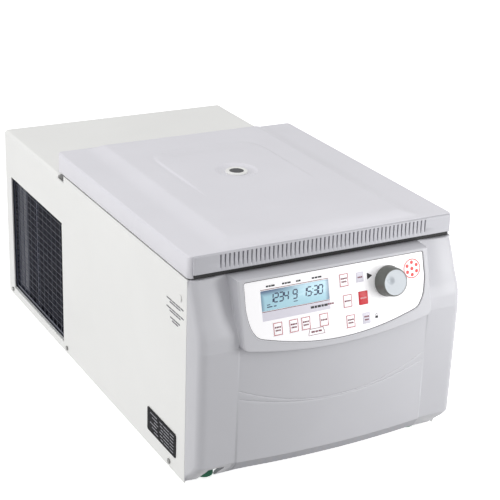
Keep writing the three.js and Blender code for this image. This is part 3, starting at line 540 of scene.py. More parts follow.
def wing_y(x, z):
    """The wing's face, hollowed beside the bezel and rounded towards the sides."""
    y = table_value(WING_PROFILE, z)
    y += 5.5 * smooth((187 - abs(x)) / 38) ** 1.4 * smooth((z - 211) / 55)
    past = max(0, abs(x) - (FASCIA_HALF - FASCIA_CORNER))
    return min(y + FASCIA_CORNER - math.sqrt(max(0, FASCIA_CORNER ** 2 - past ** 2)), -1.2)


def bulge_y(x, z):
    y = -BULGE_DEPTH - BULGE_SWELL * sag_share(x)
    if z >= CHIN_TOP:
        return y
    if z >= CHIN_LOW:
        return y + CHIN_BACK * (CHIN_TOP - z) / (CHIN_TOP - CHIN_LOW)
    last = -2.5
    return last + (y + CHIN_BACK - last) * (z - FASCIA_LOW) / (CHIN_LOW - FASCIA_LOW)


def rim_y(z):
    return PANEL_TOP[0] - (PANEL_TOP[1] - z) * math.tan(LEAN) - BEZEL_STEP / math.cos(LEAN)


def fascia_y(x, z):
    """The fascia's face: wings, the bulge between them, and the bezel that stands over both."""
    size = abs(x)
    over_sag = z - (BEZEL_LOW - BEZEL_SAG * sag_share(x))
    share = smooth((size - 146.5) / 3)
    base = wing_y(x, z) if share > 0 else 0
    if share < 1:
        base = share * base + (1 - share) * bulge_y(x, z)
    if over_sag > 1 and size < BULGE_EDGE:
        base = -5
    inside = soft_min(BEZEL_EDGE - size, over_sag * 0.97, 7)
    drop = rounding(inside, 2.4) if inside >= 0 else 2.4 - 18 * inside
    y = soft_min(rim_y(z) + drop, base, 1.5)
    y += rounding(FASCIA_TOP - z, 1.3)
    for edge, sag in SMILES:
        away = z - (edge - sag * sag_share(x))
        y += SMILE_DEPTH * math.exp(-(away / SMILE_WIDTH) ** 2) * smooth((BULGE_EDGE - size) / 4)
    return y


def fascia_columns():
    """Grid places across, closer together at the bulge's edge and the outer corner."""
    right = [0, 8, 17, 26, 35, 44, 53, 62, 71, 80, 89, 98, 107, 115, 122, 129, 134, 138, 141, 143, 144.5,
             145.3, 145.9, 146.4, 146.8, 147.1, 147.35, 147.5, 147.85, 148.2, 148.6, 149.1, 149.8, 151, 153,
             156, 160, 165, 170, 175, 180, 185, 189, 193, 195.5, 197.5, 199.3, 200.8, 202, 203, 203.8, 204.4,
             204.8, 205]
    return [-x for x in right[:0:-1]] + right


def fascia_rows():
    """Grid rows as (height at the bulge's edge, sag), closer together at the rim, grooves and chin."""
    rows = [(z, 0) for z in (301, 300.85, 300.5, 300, 299.5, 298, 295, 291, 286, 281, 275, 270, 264, 258, 252,
                             246, 241, 237, 233, 229, 226)]
    rows += [(223.5, 2), (221, 5), (218.5, 8), (216.5, 11), (215, 13.5)]
    rows += [(BEZEL_LOW + d, BEZEL_SAG)
             for d in (3.6, 3, 2.4, 1.9, 1.4, 1, 0.6, 0.3, 0, -0.3, -0.8, -1.6, -3)]
    rows += [(204, 16), (199, 18), (192, 20), (184, 23), (175, 26), (166, 29), (158, 31), (152, 32.2)]
    near = (1.1, 0.7, 0.4, 0.2, 0, -0.2, -0.4, -0.7, -1.1)
    (upper, upper_sag), (lower, lower_sag) = SMILES
    rows += [(upper + d, upper_sag) for d in near]
    rows += [(143.5, 28.5)]
    rows += [(lower + d, lower_sag) for d in near]
    rows += [(131, 21), (124, 20), (114, 18), (102, 15), (90, 12), (78, 9), (66, 6), (56, 3), (49, 1.5),
             (44, 0.5)]
    rows += [(z, 0) for z in (41.5, 40.6, 40, 39.4, 38.5, 35, 30.5, 30, 29, 26, 25, 24, 16, 8, 4)]
    return rows


def fascia():
    xs, rows = fascia_columns(), fascia_rows()
    wall, half, middle = FASCIA_WALL, FASCIA_HALF, (FASCIA_TOP + FASCIA_LOW) / 2
    squeeze_x = (half - wall) / half
    squeeze_z = (FASCIA_TOP - middle - wall) / (FASCIA_TOP - middle)

    def height(i, j):
        return rows[j][0] - rows[j][1] * sag_share(xs[i])

    def inner(i, j):
        return xs[i] * squeeze_x, middle + (height(i, j) - middle) * squeeze_z

    def behind(x, z):
        """Depth of the inner face: a wall behind the outermost face nearby."""
        y = max(fascia_y(x + a, min(FASCIA_TOP - 2, max(FASCIA_LOW, z + b)))
                for a in (-4, -2, 0, 2, 4) for b in (-4, 0, 4) if abs(x + a) <= half)
        return min(y + wall, SEAM_FACE - 0.3)

    def outer_point(i, j):
        z = height(i, j)
        return at(xs[i], fascia_y(xs[i], z), z)

    def inner_point(i, j):
        x, z = inner(i, j)
        return at(x, behind(x, z), z)

    def seam_point(i, j):
        x, z = inner(i, j)
        return at(x, SEAM_FACE, z)

    # Picks the bulge's slanting lower faces, which take the painted shade.
    def chin(i, j):
        return rows[j][0] <= 39.5 and abs(xs[i] + xs[i + 1]) < 2 * BULGE_EDGE

    columns, edge = range(len(xs)), perimeter(len(xs), len(rows))
    front = [[outer_point(i, j) for j in range(len(rows))] for i in columns]
    back = [[inner_point(i, j) for j in range(len(rows))] for i in columns]
    rings = [[at(xs[i], SEAM_FACE, height(i, j)) for i, j in edge], [seam_point(i, j) for i, j in edge]]
    points, faces = shell(front, rings, back)
    mesh = mesh_of("fascia_moulding", points, faces, [FINISH["fascia_plastic"], FASCIA_CHIN_PAINTED_SHADE],
                   second_finish(len(xs), len(rows), faces, chin))
    obj = piece("fascia_moulding", mesh, "cabinet", ["front_fascia"])
    window = offset_outline(overlay_outline(), 2.0)
    cut_away(obj, flat_prism(window, -24, 14, on_panel),
             flat_prism(round_rectangle(*FOOT_OPENING, 2.5), -60, 12, facing_front))


fascia()


def panel_lip():
    """The raised edge round the overlay."""
    section = [(0.35, -1.0), (0.35, 1.75), (0.5, 2.2), (0.85, 2.55), (1.35, 2.74), (1.9, 2.76), (2.5, 2.66),
               (3.1, 2.4), (3.1, -1.0)]
    add_piece("panel_lip", loft(swept(overlay_outline(), section)), "cabinet", "fascia_plastic")


def foot_opening_shadow():
    """A dark wall in the fascia's foot opening, above the foot: painted shadow, standing in for the shaded
    space under the machine.
    """
    wall = flat_prism(round_rectangle(-192, 20, -150, 38, 2), -5.6, -3.8, facing_front)
    round_off(add_piece("foot_opening_shadow", wall, "cabinet", "dark_plastic"), 0.4)


def fascia_ledge():
    """The ledge behind the fascia's top edge, under the lid."""
    ledge = flat_prism(round_rectangle(-202.2, -0.2, 202.2, 9.7, 1.5), 298.2, 300.8, at)
    round_off(add_piece("fascia_ledge", ledge, "cabinet", "fascia_plastic"), 0.6)


panel_lip()
foot_opening_shadow()
fascia_ledge()


# ---- Controls ----
# Keys and display as (across, up, width, height) on the panel.
KEY = (14.5, 18.5)
KEYS = {
    "program": (-94.6, 24.6, *KEY), "rotor": (-70.6, 24.6, *KEY), "accel": (-52.4, 24.6, *KEY),
    "time": (-24.6, 24.6, *KEY), "mode": (10.5, 72.5, *KEY), "speed": (14, 43.5, *KEY),
    "quick": (16.5, 15.2, *KEY), "start": (35.8, 72.5, 11.5, 13.5), "stop": (39, 43.5, *KEY),
    "lid": (41.8, 15.2, 12, 15),
}
PLAIN_KEYS = ("start", "lid")
ONE_LINE_KEYS = ("time", "speed", "start", "stop")
LCD = (-64.4, 64.2, 102.5, 27)


def box_of(place, grow=0.0):
    x, s, width, height = place
    return x - width / 2 - grow, s - height / 2 - grow, x + width / 2 + grow, s + height / 2 + grow


def rounded(place, grow, radius):
    return round_rectangle(*box_of(place, grow), radius)


def stamp(outlines, low, high, place=on_panel):
    """Points and faces of several flat printed shapes, one thin prism each."""
    points, faces = [], []
    for outline in outlines:
        more, more_faces = flat_prism(outline, low, high, place)
        start = len(points)
        points += more
        faces += [tuple(start + k for k in face) for face in more_faces]
    return points, faces


def bar(x0, s0, x1, s1):
    return [(x0, s0), (x1, s0), (x1, s1), (x0, s1)]


def frame_bars(x0, s0, x1, s1, width):
    return [bar(x0, s0, x1, s0 + width), bar(x0, s1 - width, x1, s1),
            bar(x0, s0 + width, x0 + width, s1 - width), bar(x1 - width, s0 + width, x1, s1 - width)]


def words(x, s, width, height, pattern):
    """A line of small bars that stands for a word: pattern gives bars and gaps by turns."""
    total = sum(pattern)
    shapes, start = [], x - width / 2
    for k, part in enumerate(pattern):
        step = width * part / total
        if k % 2 == 0:
            shapes.append(bar(start, s - height / 2, start + step, s + height / 2))
        start += step
    return shapes


def overlay():
    """The white film with holes for the display, the keys and the knob's shaft."""
    film = flat_prism(overlay_outline(), 0.3, 1.5, on_panel)
    obj = add_piece("overlay_film", film, "cabinet", "key_plastic", ["control_overlay"])
    holes = [flat_prism(rounded(place, 0.12, 0.9), -1, 4, on_panel) for place in [LCD, *KEYS.values()]]
    cut_away(obj, *holes, capped(lathe_loops([(5, -1), (5, 4)], on_knob, 40)))


def key_cap(name, place):
    slot = "stop_plastic" if name == "stop" else "key_plastic"
    rims = [(0, -2.2), (0, 1.62), (-0.12, 1.86), (-0.4, 2.0)]
    cap = capped(swept(rounded(place, -0.15, 1.0), rims))
    add_piece("cap_" + name, cap, "button_" + name, slot, ["key_" + name],
              KEY_PALE if name in PLAIN_KEYS else None)


def key_print(name, place):
    """A red border where the key has one, and one or two generic words."""
    body = "button_" + name
    if name not in PLAIN_KEYS and name != "stop":
        border = stamp(frame_bars(*box_of(place, -0.7), 0.9), 1.95, 2.06)
        add_piece("border_" + name, border, body, "stop_plastic", finish=PRINT_RED)
    x, s, width = place[:3]
    levels = [s] if name in ONE_LINE_KEYS else [s + 2.1, s - 2.1]
    lengths = (9.4, 7.8) if width > 13 else (7.4, 6)
    marks = []
    for level, length in zip(levels, lengths):
        marks += words(x, level, length, 2.1, (2, 0.4, 2, 0.4, 1.4, 0.4, 2))
    add_piece("legend_" + name, stamp(marks, 1.95, 2.07), body, "stop_plastic",
              finish=PRINT_PINK if name == "stop" else PRINT_MAROON)


overlay()
for key, spot in KEYS.items():
    key_cap(key, spot)
    key_print(key, spot)


def knob():
    """A grey cap with a flange at its foot and a thumb dimple in its pale face."""
    base, steps = 2.1, 128
    face = base + 19.6
    profile = [(0.02, -2.8), (3.9, -2.8), (3.9, base), (20.6, base), (21.3, base + 0.3), (21.5, base + 0.9),
               (21.5, base + 2.0), (21.2, base + 2.5), (19.6, face - 2.6), (19.35, face - 1.7),
               (18.9, face - 0.7), (18.2, face - 0.15), (17.4, face - 0.02), (16.9, face - 0.25)]
    rings = [16.4, 15, 13.5, 12, 10.5, 9, 7.5, 6, 4.5, 3, 1.5, 0.3]
    dimple_x, dimple_y, dimple_radius, dimple_depth = -7.5, 3, 6.8, 2.6

    def face_point(x, y):
        away = math.hypot(x - dimple_x, y - dimple_y) / dimple_radius
        return on_knob(x, y, face - 0.3 - dimple_depth * (1 - smooth(away)))

    loops = lathe_loops(profile, on_knob, steps)
    loops += [[face_point(r * math.cos(a), r * math.sin(a)) for a in turns(steps)] for r in rings]
    points, faces = capped(loops)
    first_face, sides = (len(profile) - 2) * steps, (len(loops) - 1) * steps
    indices = [1 if first_face <= k < sides or k == len(faces) - 1 else 0 for k in range(len(faces))]
    mesh = mesh_of("selector_cap", points, faces, [FINISH["knob_plastic"], KNOB_FACE], indices)
    piece("selector_cap", mesh, "selector_knob", ["control_knob"], angle=50)


knob()


# ---- Lid ----
LID_HALF, LID_FRONT, LID_REAR, LID_CORNER, LID_WALL = 205, -3, 465, 7, 3
LID_LOW, LID_FLANGE, LID_TOP, LID_PLATEAU = 303, 334, 342, 1.3
LID_MIDDLE, LID_REACH = (LID_FRONT + LID_REAR) / 2, (LID_REAR - LID_FRONT) / 2
DISH_RADIUS = 33


def past_corner(x, y):
    """How far a place lies past the centre of the plan's nearest rounded corner, both ways."""
    return abs(x) - (LID_HALF - LID_CORNER), abs(y - LID_MIDDLE) - (LID_REACH - LID_CORNER)


def lid_plan(x, y):
    """Rounds the corners of the lid's plan rectangle."""
    across, along = past_corner(x, y)
    if across <= 0 or along <= 0:
        return x, y
    pull = max(across, along) / math.hypot(across, along)
    return (
        math.copysign(LID_HALF - LID_CORNER + across * pull, x),
        LID_MIDDLE + math.copysign(LID_REACH - LID_CORNER + along * pull, y - LID_MIDDLE),
    )


def lid_top(x, y):
    """Height of the lid: flanges at the sides, a hood that rises from the front, and a raised field."""
    size = abs(x)
    plain = LID_TOP - LID_PLATEAU
    side = LID_FLANGE + (plain + 0.6 - LID_FLANGE) * smooth((165 - size) / 62) ** 1.1 * 1.9
    slope, hood = 7, 42  # where the front slope starts and ends
    if y < hood:
        climb = max(0, (y - slope) / (hood - slope))
        front = 335 + (plain + 0.4 - 335) * (1 - (1 - climb) ** 2.2)
    else:
        front = plain + 0.4 + (y - hood)
    rear = plain + 0.5 - 8 * max(0, (y - 446) / 12) ** 2
    height = soft_min(soft_min(side, front, 1.6), plain, 1.0)
    height = max(LID_FLANGE, soft_min(height, rear, 1.2))
    if y < 6:
        height = min(height, 334.6)
    inside = soft_min(93 - size, (388 - y) * 0.85, 46)
    width = 4 + 60 * smooth((76 - size) / 30) * smooth((y - 335) / 35)
    valley = 0.35 * math.exp(-((inside + 2) / 3) ** 2) * smooth((y - 200) / 60)
    return height + smooth((y - 166) / 70) * (LID_PLATEAU * smooth(inside / width) - valley)


def lid_grid():
    """Grid places across and along, closer together at the edges and where the lid bends."""
    near = [0, 0.15, 0.5, 1, 1.7, 2.6, 4]
    right = [0, 12, 24, 36, 48, 60, 70, 78, 84, 87, 88.5, 90, 91, 92, 93, 94, 96, 99, 104, 110, 116, 122,
             126, 128, 130, 131.5, 133, 135, 137, 140, 144, 148, 152, 156, 160, 164, 168, 175, 184, 192, 197]
    right += [LID_HALF - d for d in reversed(near)]
    ys = [LID_FRONT + d for d in near]
    ys += [3, 5, 6, 7, 9, 12, 15, 18, 22, 26, 30, 34, 38, 41, 44, 50, 62, 80, 100, 120, 140, 155, 166, 176,
           188, 202, 220, 240, 260, 280, 300, 315, 328, 336, 344, 352, 358, 364, 369, 372, 375, 377, 379,
           381, 383, 385, 388, 392, 400, 412, 426, 438, 444, 447, 450, 452, 454, 456, 458, 460]
    ys += [LID_REAR - d for d in reversed(near[:-1])]
    return [-x for x in right[:0:-1]] + right, ys


def lid_cover():
    xs, ys = lid_grid()
    wall = LID_WALL

    def top_point(x, y):
        edge = LID_CORNER - max(past_corner(x, y))
        px, py = lid_plan(x, y)
        return at(px, py, lid_top(px, py) - rounding(edge, 2.6))

    def squeezed(x, y, grow):
        """A place on the plan drawn in by grow."""
        px, py = lid_plan(x, y)
        return px * (1 - grow / LID_HALF), LID_MIDDLE + (py - LID_MIDDLE) * (1 - grow / LID_REACH)

    def under_point(x, y):
        px, py = squeezed(x, y, wall)
        return at(px, py, min(lid_top(px + a, py + b) for a in (-4, 0, 4) for b in (-4, 0, 4)) - wall)

    front = [[top_point(x, y) for y in ys] for x in xs]
    back = [[under_point(x, y) for y in ys] for x in xs]
    skirt = [(0, 320), (0, LID_LOW + 0.6), (0.2, LID_LOW + 0.2), (0.6, LID_LOW), (wall, LID_LOW)]
    rings = [[at(*squeezed(xs[i], ys[j], grow), z) for i, j in perimeter(len(xs), len(ys))]
             for grow, z in skirt]
    obj = add_piece("lid_moulding", shell(front, rings, back), "lid", "lid_plastic", ["lid_cover"])
    reach = DISH_RADIUS + 0.05
    cut_away(obj, capped(lathe_loops([(reach, 300), (reach, 360)], on_axis, 128)))


def lid_window():
    """The dish in the lid, and the bead round its window."""
    dish = [(33.04, 341.98), (32.6, 341.98), (31.9, 341.85), (31.0, 341.4), (29.6, 340.4), (28, 339.6),
            (26, 339.1), (22, 338.8), (17.4, 338.6), (13.5, 338.6), (13.5, 312), (15.5, 312), (16, 335.4),
            (33.04, 337)]
    bead = [(16.6, 338.7), (16.5, 340.4), (16.1, 341.1), (15.2, 341.5), (13.0, 341.5), (11.6, 341.2),
            (10.9, 340.75), (13.3, 340.65), (13.3, 338.7)]
    turned("lid_dish", dish, "lid", "lid_plastic")
    turned("window_bead", bead, "lid", "white_metal")


def front_strip():
    """The grip strip under the hood's edge: a row of grooves that grow deeper towards the top."""
    first, pitch, groove, count = -162, 6.47, 2.2, 50
    end, low, top = 199, 309, 334
    columns = [(-end, 0), (-198.8, 0), (-198.2, 0), (-197, 0), (-180, 0)]
    for k in range(count):
        columns += [(first + k * pitch + d, share) for d, share in (
            (0, 0), (0.35, 0.25), (0.75, 0.8), (groove / 2, 1), (1.45, 0.8), (1.85, 0.25), (groove, 0))]
    columns += [(175, 0), (190, 0), (197, 0), (198.2, 0), (198.8, 0), (end, 0)]
    rows = [334, 333.85, 333.4, 332.8, 332.5, 332.3, 332.1, 331.9, 331.5, 330, 326, 322, 318, 314, 311.5,
            310, 309.6, 309.2, 309]

    def depth(z):
        if not 309.6 < z <= 332.4:
            return 0
        return 3.6 * smooth((332.5 - z) / 0.7) * smooth((z - 309.6) / 22) ** 0.9

    def face(x, share, z):
        y = -7.5 + share * depth(z) + rounding(end - abs(x), 1.0) + rounding(top - z, 1.2)
        return min(y + rounding(z - low, 0.8), -3.4)

    # Picks the groove faces that take the painted shade.
    def in_groove(i, j):
        return columns[i][1] + columns[i + 1][1] > 1 and depth(rows[j]) + depth(rows[j + 1]) > 1.2

    front = [[at(x, face(x, share, z), z) for z in rows] for x, share in columns]
    back = [[at(x, -3.05, z) for z in rows] for x, share in columns]
    points, faces = shell(front, [], back)
    # Groove faces take the painted groove shade, the rest of the strip its painted front shade.
    mesh = mesh_of("lid_grip_strip", points, faces, [STRIP_FRONT_SHADE, GROOVE_PAINTED_SHADE],
                   second_finish(len(columns), len(rows), faces, in_groove))
    piece("lid_grip_strip", mesh, "lid", ["lid_front_strip"])


def turned(name, profile, body, slot, stands_for=(), closed=True):
    """A piece turned about the rotor's axis."""
    shape = loft(lathe_loops(profile, on_axis, 128), closed=closed, caps=not closed)
    return add_piece(name, shape, body, slot, stands_for)


lid_cover()
lid_window()
front_strip()


# ---- Turned parts of the rotor chamber ----
BOWL_HOLE = 30
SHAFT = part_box("drive_shaft")[1].x / MM
BORES, BORE_LEAN, BORE_RADIUS, BORE_CIRCLE, BORE_TOP = 6, math.radians(25), 13, 58, 210

turned("bowl_pressing",
       [(BOWL_HOLE, 118), (139, 118)] + arc(141, 127, 9, -90, 0)
       + [(150, 294.6), (160, 294.6), (160, 296.6)] + arc(150.5, 294.1, 2.5, 90, 180)
       + arc(139, 129, 9, 0, -90) + [(BOWL_HOLE, 120)],
       "cabinet", "steel", ["chamber_bowl"])
turned("mouth_seal",
       [(153, 300.3), (161, 300.3), (161, 301.4)] + arc(157.6, 304.4, 1.6, 0, 180)
       + [(155, 302.4), (153, 302.2)],
       "cabinet", "rubber", ["chamber_gasket"])
turned("rotor_cover_turned",
       [(0.02, 206.3), (85.6, 206.3)] + arc(84.8, 207.6, 1.2, -60, 60)
       + [(80, 209.8), (60, 213.6), (42, 217), (30, 218.6), (20, 219.6), (16.4, 220.6), (15.3, 223)]
       + [(15.2, 228), (16.2, 234), (17, 236.2)] + arc(14.6, 236.4, 2.6, 0, 80)
       + [(10, 239.6), (0.02, 239.9)],
       "rotor_cover", "knob_plastic", ["rotor_lid"], closed=False)


def rotor_bore(turn):
    """One slanting bore: its axis leans outwards towards the lower end."""
    def place(x, y, h):
        out = BORE_CIRCLE + x * math.cos(BORE_LEAN) - h * math.sin(BORE_LEAN)
        up = BORE_TOP + h * math.cos(BORE_LEAN) + x * math.sin(BORE_LEAN)
        across, along = math.cos(turn), math.sin(turn)
        return on_axis(out * across - y * along, out * along + y * across, up)

    return capped(lathe_loops([(BORE_RADIUS, -66), (BORE_RADIUS, 12)], place, 40))


def rotor_body():
    hub = SHAFT + 0.3
    obj = turned("rotor_turned",
                 [(hub, 128), (87, 128), (88.4, 128.4), (105, 139), (106, 140.4), (106, 151.4),
                  (105.6, 152.8), (83, 205), (81.6, 206), (29, 206), (28, 205.2), (28, 196), (hub, 196)],
                 "rotor_drive", "aluminium", ["rotor"])
    cut_away(obj, *[rotor_bore(turn) for turn in turns(BORES)])


rotor_body()


# ---- Air intake in the left side ----
def lattice(ys, zs, x0, x1):
    """A flat grid of bars: every second cell of ys and zs is a bar, the rest are holes."""
    points, faces, known = [], [], {}

    def corner(i, j, depth):
        key = (i, j, depth)
        if key not in known:
            known[key] = len(points)
            points.append(at((x0, x1)[depth], ys[i], zs[j]))
        return known[key]

    def is_bar(i, j):
        inside = 0 <= i < len(ys) - 1 and 0 <= j < len(zs) - 1
        return inside and (i % 2 == 0 or j % 2 == 0)

    for i in range(len(ys) - 1):
        for j in range(len(zs) - 1):
            if not is_bar(i, j):
                continue
            around = [(i, j), (i + 1, j), (i + 1, j + 1), (i, j + 1)]
            for depth in (0, 1):
                faces.append(tuple(corner(*c, depth) for c in around))
            for k, (di, dj) in enumerate(((0, -1), (1, 0), (0, 1), (-1, 0))):
                if not is_bar(i + di, j + dj):
                    a, b = around[k], around[(k + 1) % 4]
                    faces.append((corner(*a, 0), corner(*b, 0), corner(*b, 1), corner(*a, 1)))
    return points, faces


def bars(low, high, pitch, width, edge):
    """Edges of alternate bars and gaps, starting and ending with a wide edge bar."""
    count = round((high - low - 2 * edge) / pitch)
    step = (high - low - 2 * edge) / count
    marks = [low, low + edge]
    for k in range(1, count):
        middle = low + edge + k * step
        marks += [middle - width / 2, middle + width / 2]
    return marks + [high - edge, high]


def intake_guard():
    grid = lattice(bars(448.5, 696.5, 20, 1.1, 8), bars(18.3, 224.5, 11, 0.8, 4), -200.4, -199.2)
    guard = add_piece("intake_guard", grid, "cabinet", "dark_plastic", ["condenser_grille"], WIRE_DARK)
    round_off(guard, 0.2, 2)


def fin_block():
    """The condenser's fins, seen through the guard."""
    y0, y1, z0, z1, count, depth = 452, 634, 20, 216, 62, 4
    pitch = (y1 - y0) / count
    columns = []
    for k in range(count):
        start = y0 + k * pitch
        columns += [(start, depth), (start + 0.15, 0), (start + 0.75, 0), (start + 0.9, depth)]
    columns.append((y1, depth))
    heights = (z0, z0 + 98, z1)
    front = [[at(-196.8 + deep, y, z) for z in heights] for y, deep in columns]
    back = [[at(-172.2, y, z) for z in heights] for y, deep in columns]
    add_piece("coil_fins", shell(front, [], back), "cabinet", "aluminium", ["condenser_coil"], FIN_DARK)


def side_slab(name, outline, x0, x1, finish, slot, edge, stands_for=()):
    """A flat part that faces the left side."""
    slab = flat_prism(outline, x0, x1, facing_side)
    round_off(add_piece(name, slab, "cabinet", slot, stands_for, finish), edge)


def gap_shadows_and_film_seal():
    """Dark strips in the gap under the lid's edge and front, painted shadow in that gap, and dark rubber
    round the control film.
    """
    outline = round_rectangle(-LID_HALF, LID_FRONT, LID_HALF, LID_REAR, LID_CORNER)
    section = [(-3.2, 301.3), (-1.9, 301.3), (-1.6, 301.6), (-1.6, 302.9), (-3.2, 302.9)]
    # Painted shadow: dark strips set back under the lid's edge and front, so the gap reads dark.
    add_piece("lid_gap_shadow", loft(swept(outline, section, at)), "lid", "rubber")
    front = flat_prism(round_rectangle(-198, 303.2, 198, 308.8, 1.2), -4.4, -3.1, facing_front)
    round_off(add_piece("lid_front_gap_shadow", front, "lid", "rubber"), 0.3)
    section = [(-0.35, 1.45), (-0.35, 1.62), (0.05, 1.68), (0.3, 1.62), (0.3, 1.2), (-0.1, 1.2)]
    add_piece("film_seal", loft(swept(overlay_outline(), section)), "cabinet", "rubber")


intake_guard()
fin_block()
side_slab("coil_end_plate", round_rectangle(635, 20, 690, 216, 2), -196.8, -194.8, WIRE_DARK,
          "dark_plastic", 0.4)
side_slab("coil_header", round_rectangle(586, 22, 588, 214, 0.9), -198.6, -197.0, HEADER_GREY,
          "aluminium", 0.3)
gap_shadows_and_film_seal()
side_slab("data_plate", round_rectangle(27, 24, 121, 61, 3.5), -206.1, -205.3, PLATE_BLACK,
          "dark_plastic", 0.15, ["rating_plate"])


# ---- Prints ----
SEGMENTS = {0: "abcdef", 1: "bc", 2: "abged", 3: "abgcd", 4: "fgbc", 5: "afgcd", 9: "abcdfg"}
LEVEL = 1.5  # the overlay's face


def digit(x, s, height, value, slant=0.12):
    """Outlines of one slanted seven-segment digit."""
    width, thick, half = height * 0.52, height * 0.15, height / 2
    spots = {"a": (0, half, 1), "g": (0, 0, 1), "d": (0, -half, 1), "f": (-width / 2, half / 2, 0),
             "b": (width / 2, half / 2, 0), "e": (-width / 2, -half / 2, 0), "c": (width / 2, -half / 2, 0)}
    shapes = []
    for name in SEGMENTS[value]:
        cx, cy, flat = spots[name]
        long = (width if flat else half) / 2 * 0.82
        a, b = (long, thick / 2) if flat else (thick / 2, long)
        shapes.append([(x + u + slant * v, s + v) for u, v in bar(cx - a, cy - b, cx + a, cy + b)])
    return shapes


def circle(x, s, radius, steps=24):
    return [(x + radius * math.cos(a), s + radius * math.sin(a)) for a in turns(steps)]


def printed(name, outlines, finish, level=LEVEL, slot="key_plastic"):
    add_piece(name, stamp(outlines, level - 0.03, level + 0.05), "cabinet", slot, finish=finish)


def paint_lcd_recess_shade(made):
    """Paints shade on the liquid crystal, slate at its top left, right edge and corners, as the shadow of the
    recess round it.
    """
    tree = made.node_tree
    wire = tree.links.new
    shader = tree.nodes["Principled BSDF"]
    where = tree.nodes.new("ShaderNodeTexCoord")
    split = tree.nodes.new("ShaderNodeSeparateXYZ")
    wire(where.outputs["Generated"], split.inputs["Vector"])

    def band(source, low, high, to_low, to_high):
        node = settle(tree.nodes.new("ShaderNodeMapRange"), From_Min=low, From_Max=high, To_Min=to_low,
                      To_Max=to_high)
        node.interpolation_type = "SMOOTHSTEP"
        wire(source, node.inputs["Value"])
        return node.outputs["Result"]

    def combine(operation, a, b):
        node = tree.nodes.new("ShaderNodeMath")
        node.operation = operation
        wire(a, node.inputs[0])
        wire(b, node.inputs[1])
        return node.outputs["Value"]

    x, z = split.outputs["X"], split.outputs["Z"]
    right, left = band(x, 0.93, 1.0, 0, 0.75), band(x, 0.0, 0.06, 0.6, 0)
    slope = combine("MULTIPLY", band(z, 0.66, 1.0, 0, 0.95), band(x, 0.1, 0.75, 1.0, 0.15))
    dark = combine("MAXIMUM", combine("MAXIMUM", right, left), slope)
    blend = tree.nodes.new("ShaderNodeMix")
    blend.data_type = "RGBA"
    wire(shader.inputs["Base Color"].links[0].from_socket, blend.inputs["A"])
    blend.inputs["B"].default_value = (*linear((74, 84, 122)), 1)
    wire(dark, blend.inputs["Factor"])
    wire(blend.outputs["Result"], shader.inputs["Base Color"])


def lcd_cell():
    """The display's glass, with generic digits."""
    paint_lcd_recess_shade(FINISH["lcd"])
    rims = [(0, -2.6), (0, 0.95), (-0.12, 1.12), (-0.35, 1.2)]
    cell = capped(swept(rounded(LCD, -0.1, 0.8), rims))
    add_piece("lcd_cell", cell, "cabinet", "lcd", ["lcd_window"])
    x0, s0 = LCD[0] - LCD[2] / 2, LCD[1] - LCD[3] / 2
    height, level, spacing = 11.5, s0 + 15.5, 7.6
    ink_shapes = []
    for k, value in enumerate((1, 2, 3, 4)):
        ink_shapes += digit(x0 + 15 + k * spacing, level, height, value)
    ink_shapes += digit(x0 + 51, level, height, 9)
    for k, value in enumerate((1, 5, 3, 0)):
        ink_shapes += digit(x0 + 65 + k * spacing + (2.2 if k > 1 else 0), level, height, value)
    ink_shapes += [circle(x0 + 77.7, s0 + 13.2, 0.7, 12), circle(x0 + 78.2, s0 + 18, 0.7, 12)]
    marks = ((48, 5.5, 54, 6.5), (8, 4, 16, 5.4), (18, 4, 22, 5.4), (8, 7, 13, 8.2))
    ink_shapes += [bar(x0 + a, s0 + b, x0 + c, s0 + d) for a, b, c, d in marks]
    printed("lcd_digits", ink_shapes, LCD_INK, 1.2, "lcd")


def tag_outline():
    """Four strips round the slanting tag under the keys."""
    x, s, w, h = -37, 11, 26, 9
    outer = [(x - w / 2 + 2.5, s + h / 2), (x - w / 2, s - h / 2), (x + w / 2, s - h / 2),
             (x + w / 2 - 2.5, s + h / 2)]
    inner = [(x + (a - x) * 0.94, s + (b - s) * 0.86) for a, b in outer]
    return [[outer[k], outer[(k + 1) % 4], inner[(k + 1) % 4], inner[k]] for k in range(4)]


def panel_prints():
    """Generic bars for the panel's words, its rules, and an arrow and a lock."""
    black = []
    for x0, x1 in ((-107, -94), (-83, -70), (-62, -55), (-38, -23)):
        black += words((x0 + x1) / 2, 83, x1 - x0, 2.4, (2, 0.35, 2, 0.35, 3))
    black += words(-30, 44, 26, 3.2, (3, 0.4, 2, 0.4, 3, 0.4, 2, 0.4, 3))
    black.append([(47.2, 67.2), (55.9, 72), (47.2, 76.8)])
    lock_x, lock_s = 57.8, 14
    black.append(bar(lock_x - 2.2, lock_s - 1.6, lock_x + 2.2, lock_s + 1.8))
    black += frame_bars(lock_x - 1.5, lock_s + 1.8, lock_x + 1.5, lock_s + 4.6, 0.6)[1:]
    red = [bar(-116, 78.7, -13, 79.5), bar(-116, 49.4, -13, 50.2)]
    red += words(-12, 44.4, 9, 2.2, (2, 0.4, 2, 0.4, 2))
    red += tag_outline() + words(-37, 11, 16, 2.4, (4, 0.7, 3, 0.7, 4))
    printed("panel_print_pale", [bar(-115.8, 37.5, -13, 49.4)], KEY_PALE, LEVEL - 0.015)
    printed("panel_print_black", black, PRINT_BLACK)
    printed("panel_print_red", red, PRINT_MAROON)


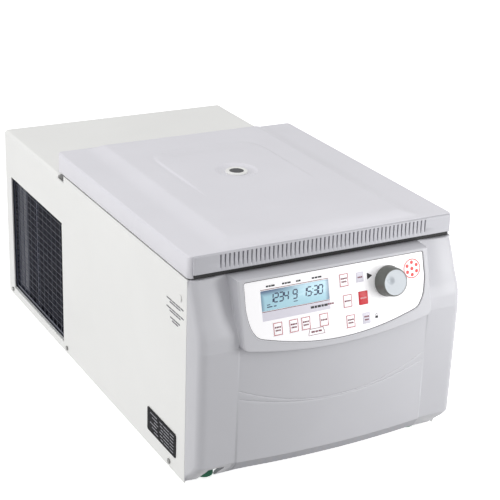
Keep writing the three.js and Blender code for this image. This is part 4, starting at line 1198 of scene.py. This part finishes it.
def emblem():
    """A generic mark: a ring round seven dots."""
    x, s, spread = 120, 71, 8.6
    dots = [circle(x, s, 2.6)]
    for a in turns(6):
        turn = a + math.radians(30)
        dots.append(circle(x + spread * math.cos(turn), s + spread * math.sin(turn), 2.5))
    printed("emblem_dots", dots, EMBLEM_RED, slot="stop_plastic")
    low, high = LEVEL - 0.03, LEVEL + 0.06
    ring = lathe_loops([(13.6, low), (13.6, high), (12.3, high), (12.3, low)],
                       lambda a, b, n: on_panel(x + a, s + b, n), 64)
    add_piece("emblem_ring", loft(ring), "cabinet", "stop_plastic", finish=EMBLEM_RED)


lcd_cell()
panel_prints()
emblem()


def side_prints():
    """Notice rows on the left side, and rows on the rating plate."""
    shapes = []
    for z, y0, y1 in ((252, 10, 62), (239.5, 9, 62), (227, 20, 50)):
        for dz, share in ((1.8, 1), (-1.8, 0.64)):
            shapes += words((y0 + y1) / 2, z + dz, (y1 - y0) * share, 2.1, (3, 0.4, 5, 0.4, 4, 0.4, 6))
    notice = stamp(shapes, 0.0, 0.08, lambda y, z, n: at(-205 - n, y, z))
    add_piece("notice_rows", notice, "cabinet", "white_metal", finish=NOTICE_GREY)
    rows = []
    for k in range(6):
        step = k % 3
        rows += words(72 - 3 * step, 55 - 5.1 * k, 78 - 7 * step, 1.3, (4, 0.8, 6, 0.8, 3, 3, 7 - step))
    plate = stamp(rows, -0.02, 0.05, lambda y, z, n: at(-206.1 - n, y, z))
    add_piece("plate_rows", plate, "cabinet", "dark_plastic", finish=PRINT_GREY)


side_prints()


# ---- CAD solids that are shown as they are ----
def soften(obj):
    """Rounds the edges of a CAD solid in its modifiers, and shades it smooth."""
    for polygon in obj.data.polygons:
        polygon.use_smooth = True
    weld = obj.modifiers.new("weld", "WELD")
    weld.merge_threshold = 1e-5
    flat = obj.modifiers.new("flatten", "DECIMATE")
    flat.decimate_type = "DISSOLVE"
    flat.angle_limit = math.radians(0.6)
    round_off(obj, 0.35, 2, 38)
    even = obj.modifiers.new("even_shading", "WEIGHTED_NORMAL")
    even.keep_sharp = True


OWN_FINISH = {name: SCREW_DARK for name in NODES if name.startswith("side_screw")}
OWN_FINISH["release_plug"] = FINISH["white_metal"]
for name, obj in NODES.items():
    if obj.data.has_custom_normals:
        with bpy.context.temp_override(object=obj, active_object=obj, selected_objects=[obj]):
            bpy.ops.mesh.customdata_custom_splitnormals_clear()
    obj.data.materials.clear()
    obj.data.materials.append(OWN_FINISH.get(name) or FINISH[SLOT_OF[name]])
    soften(obj)
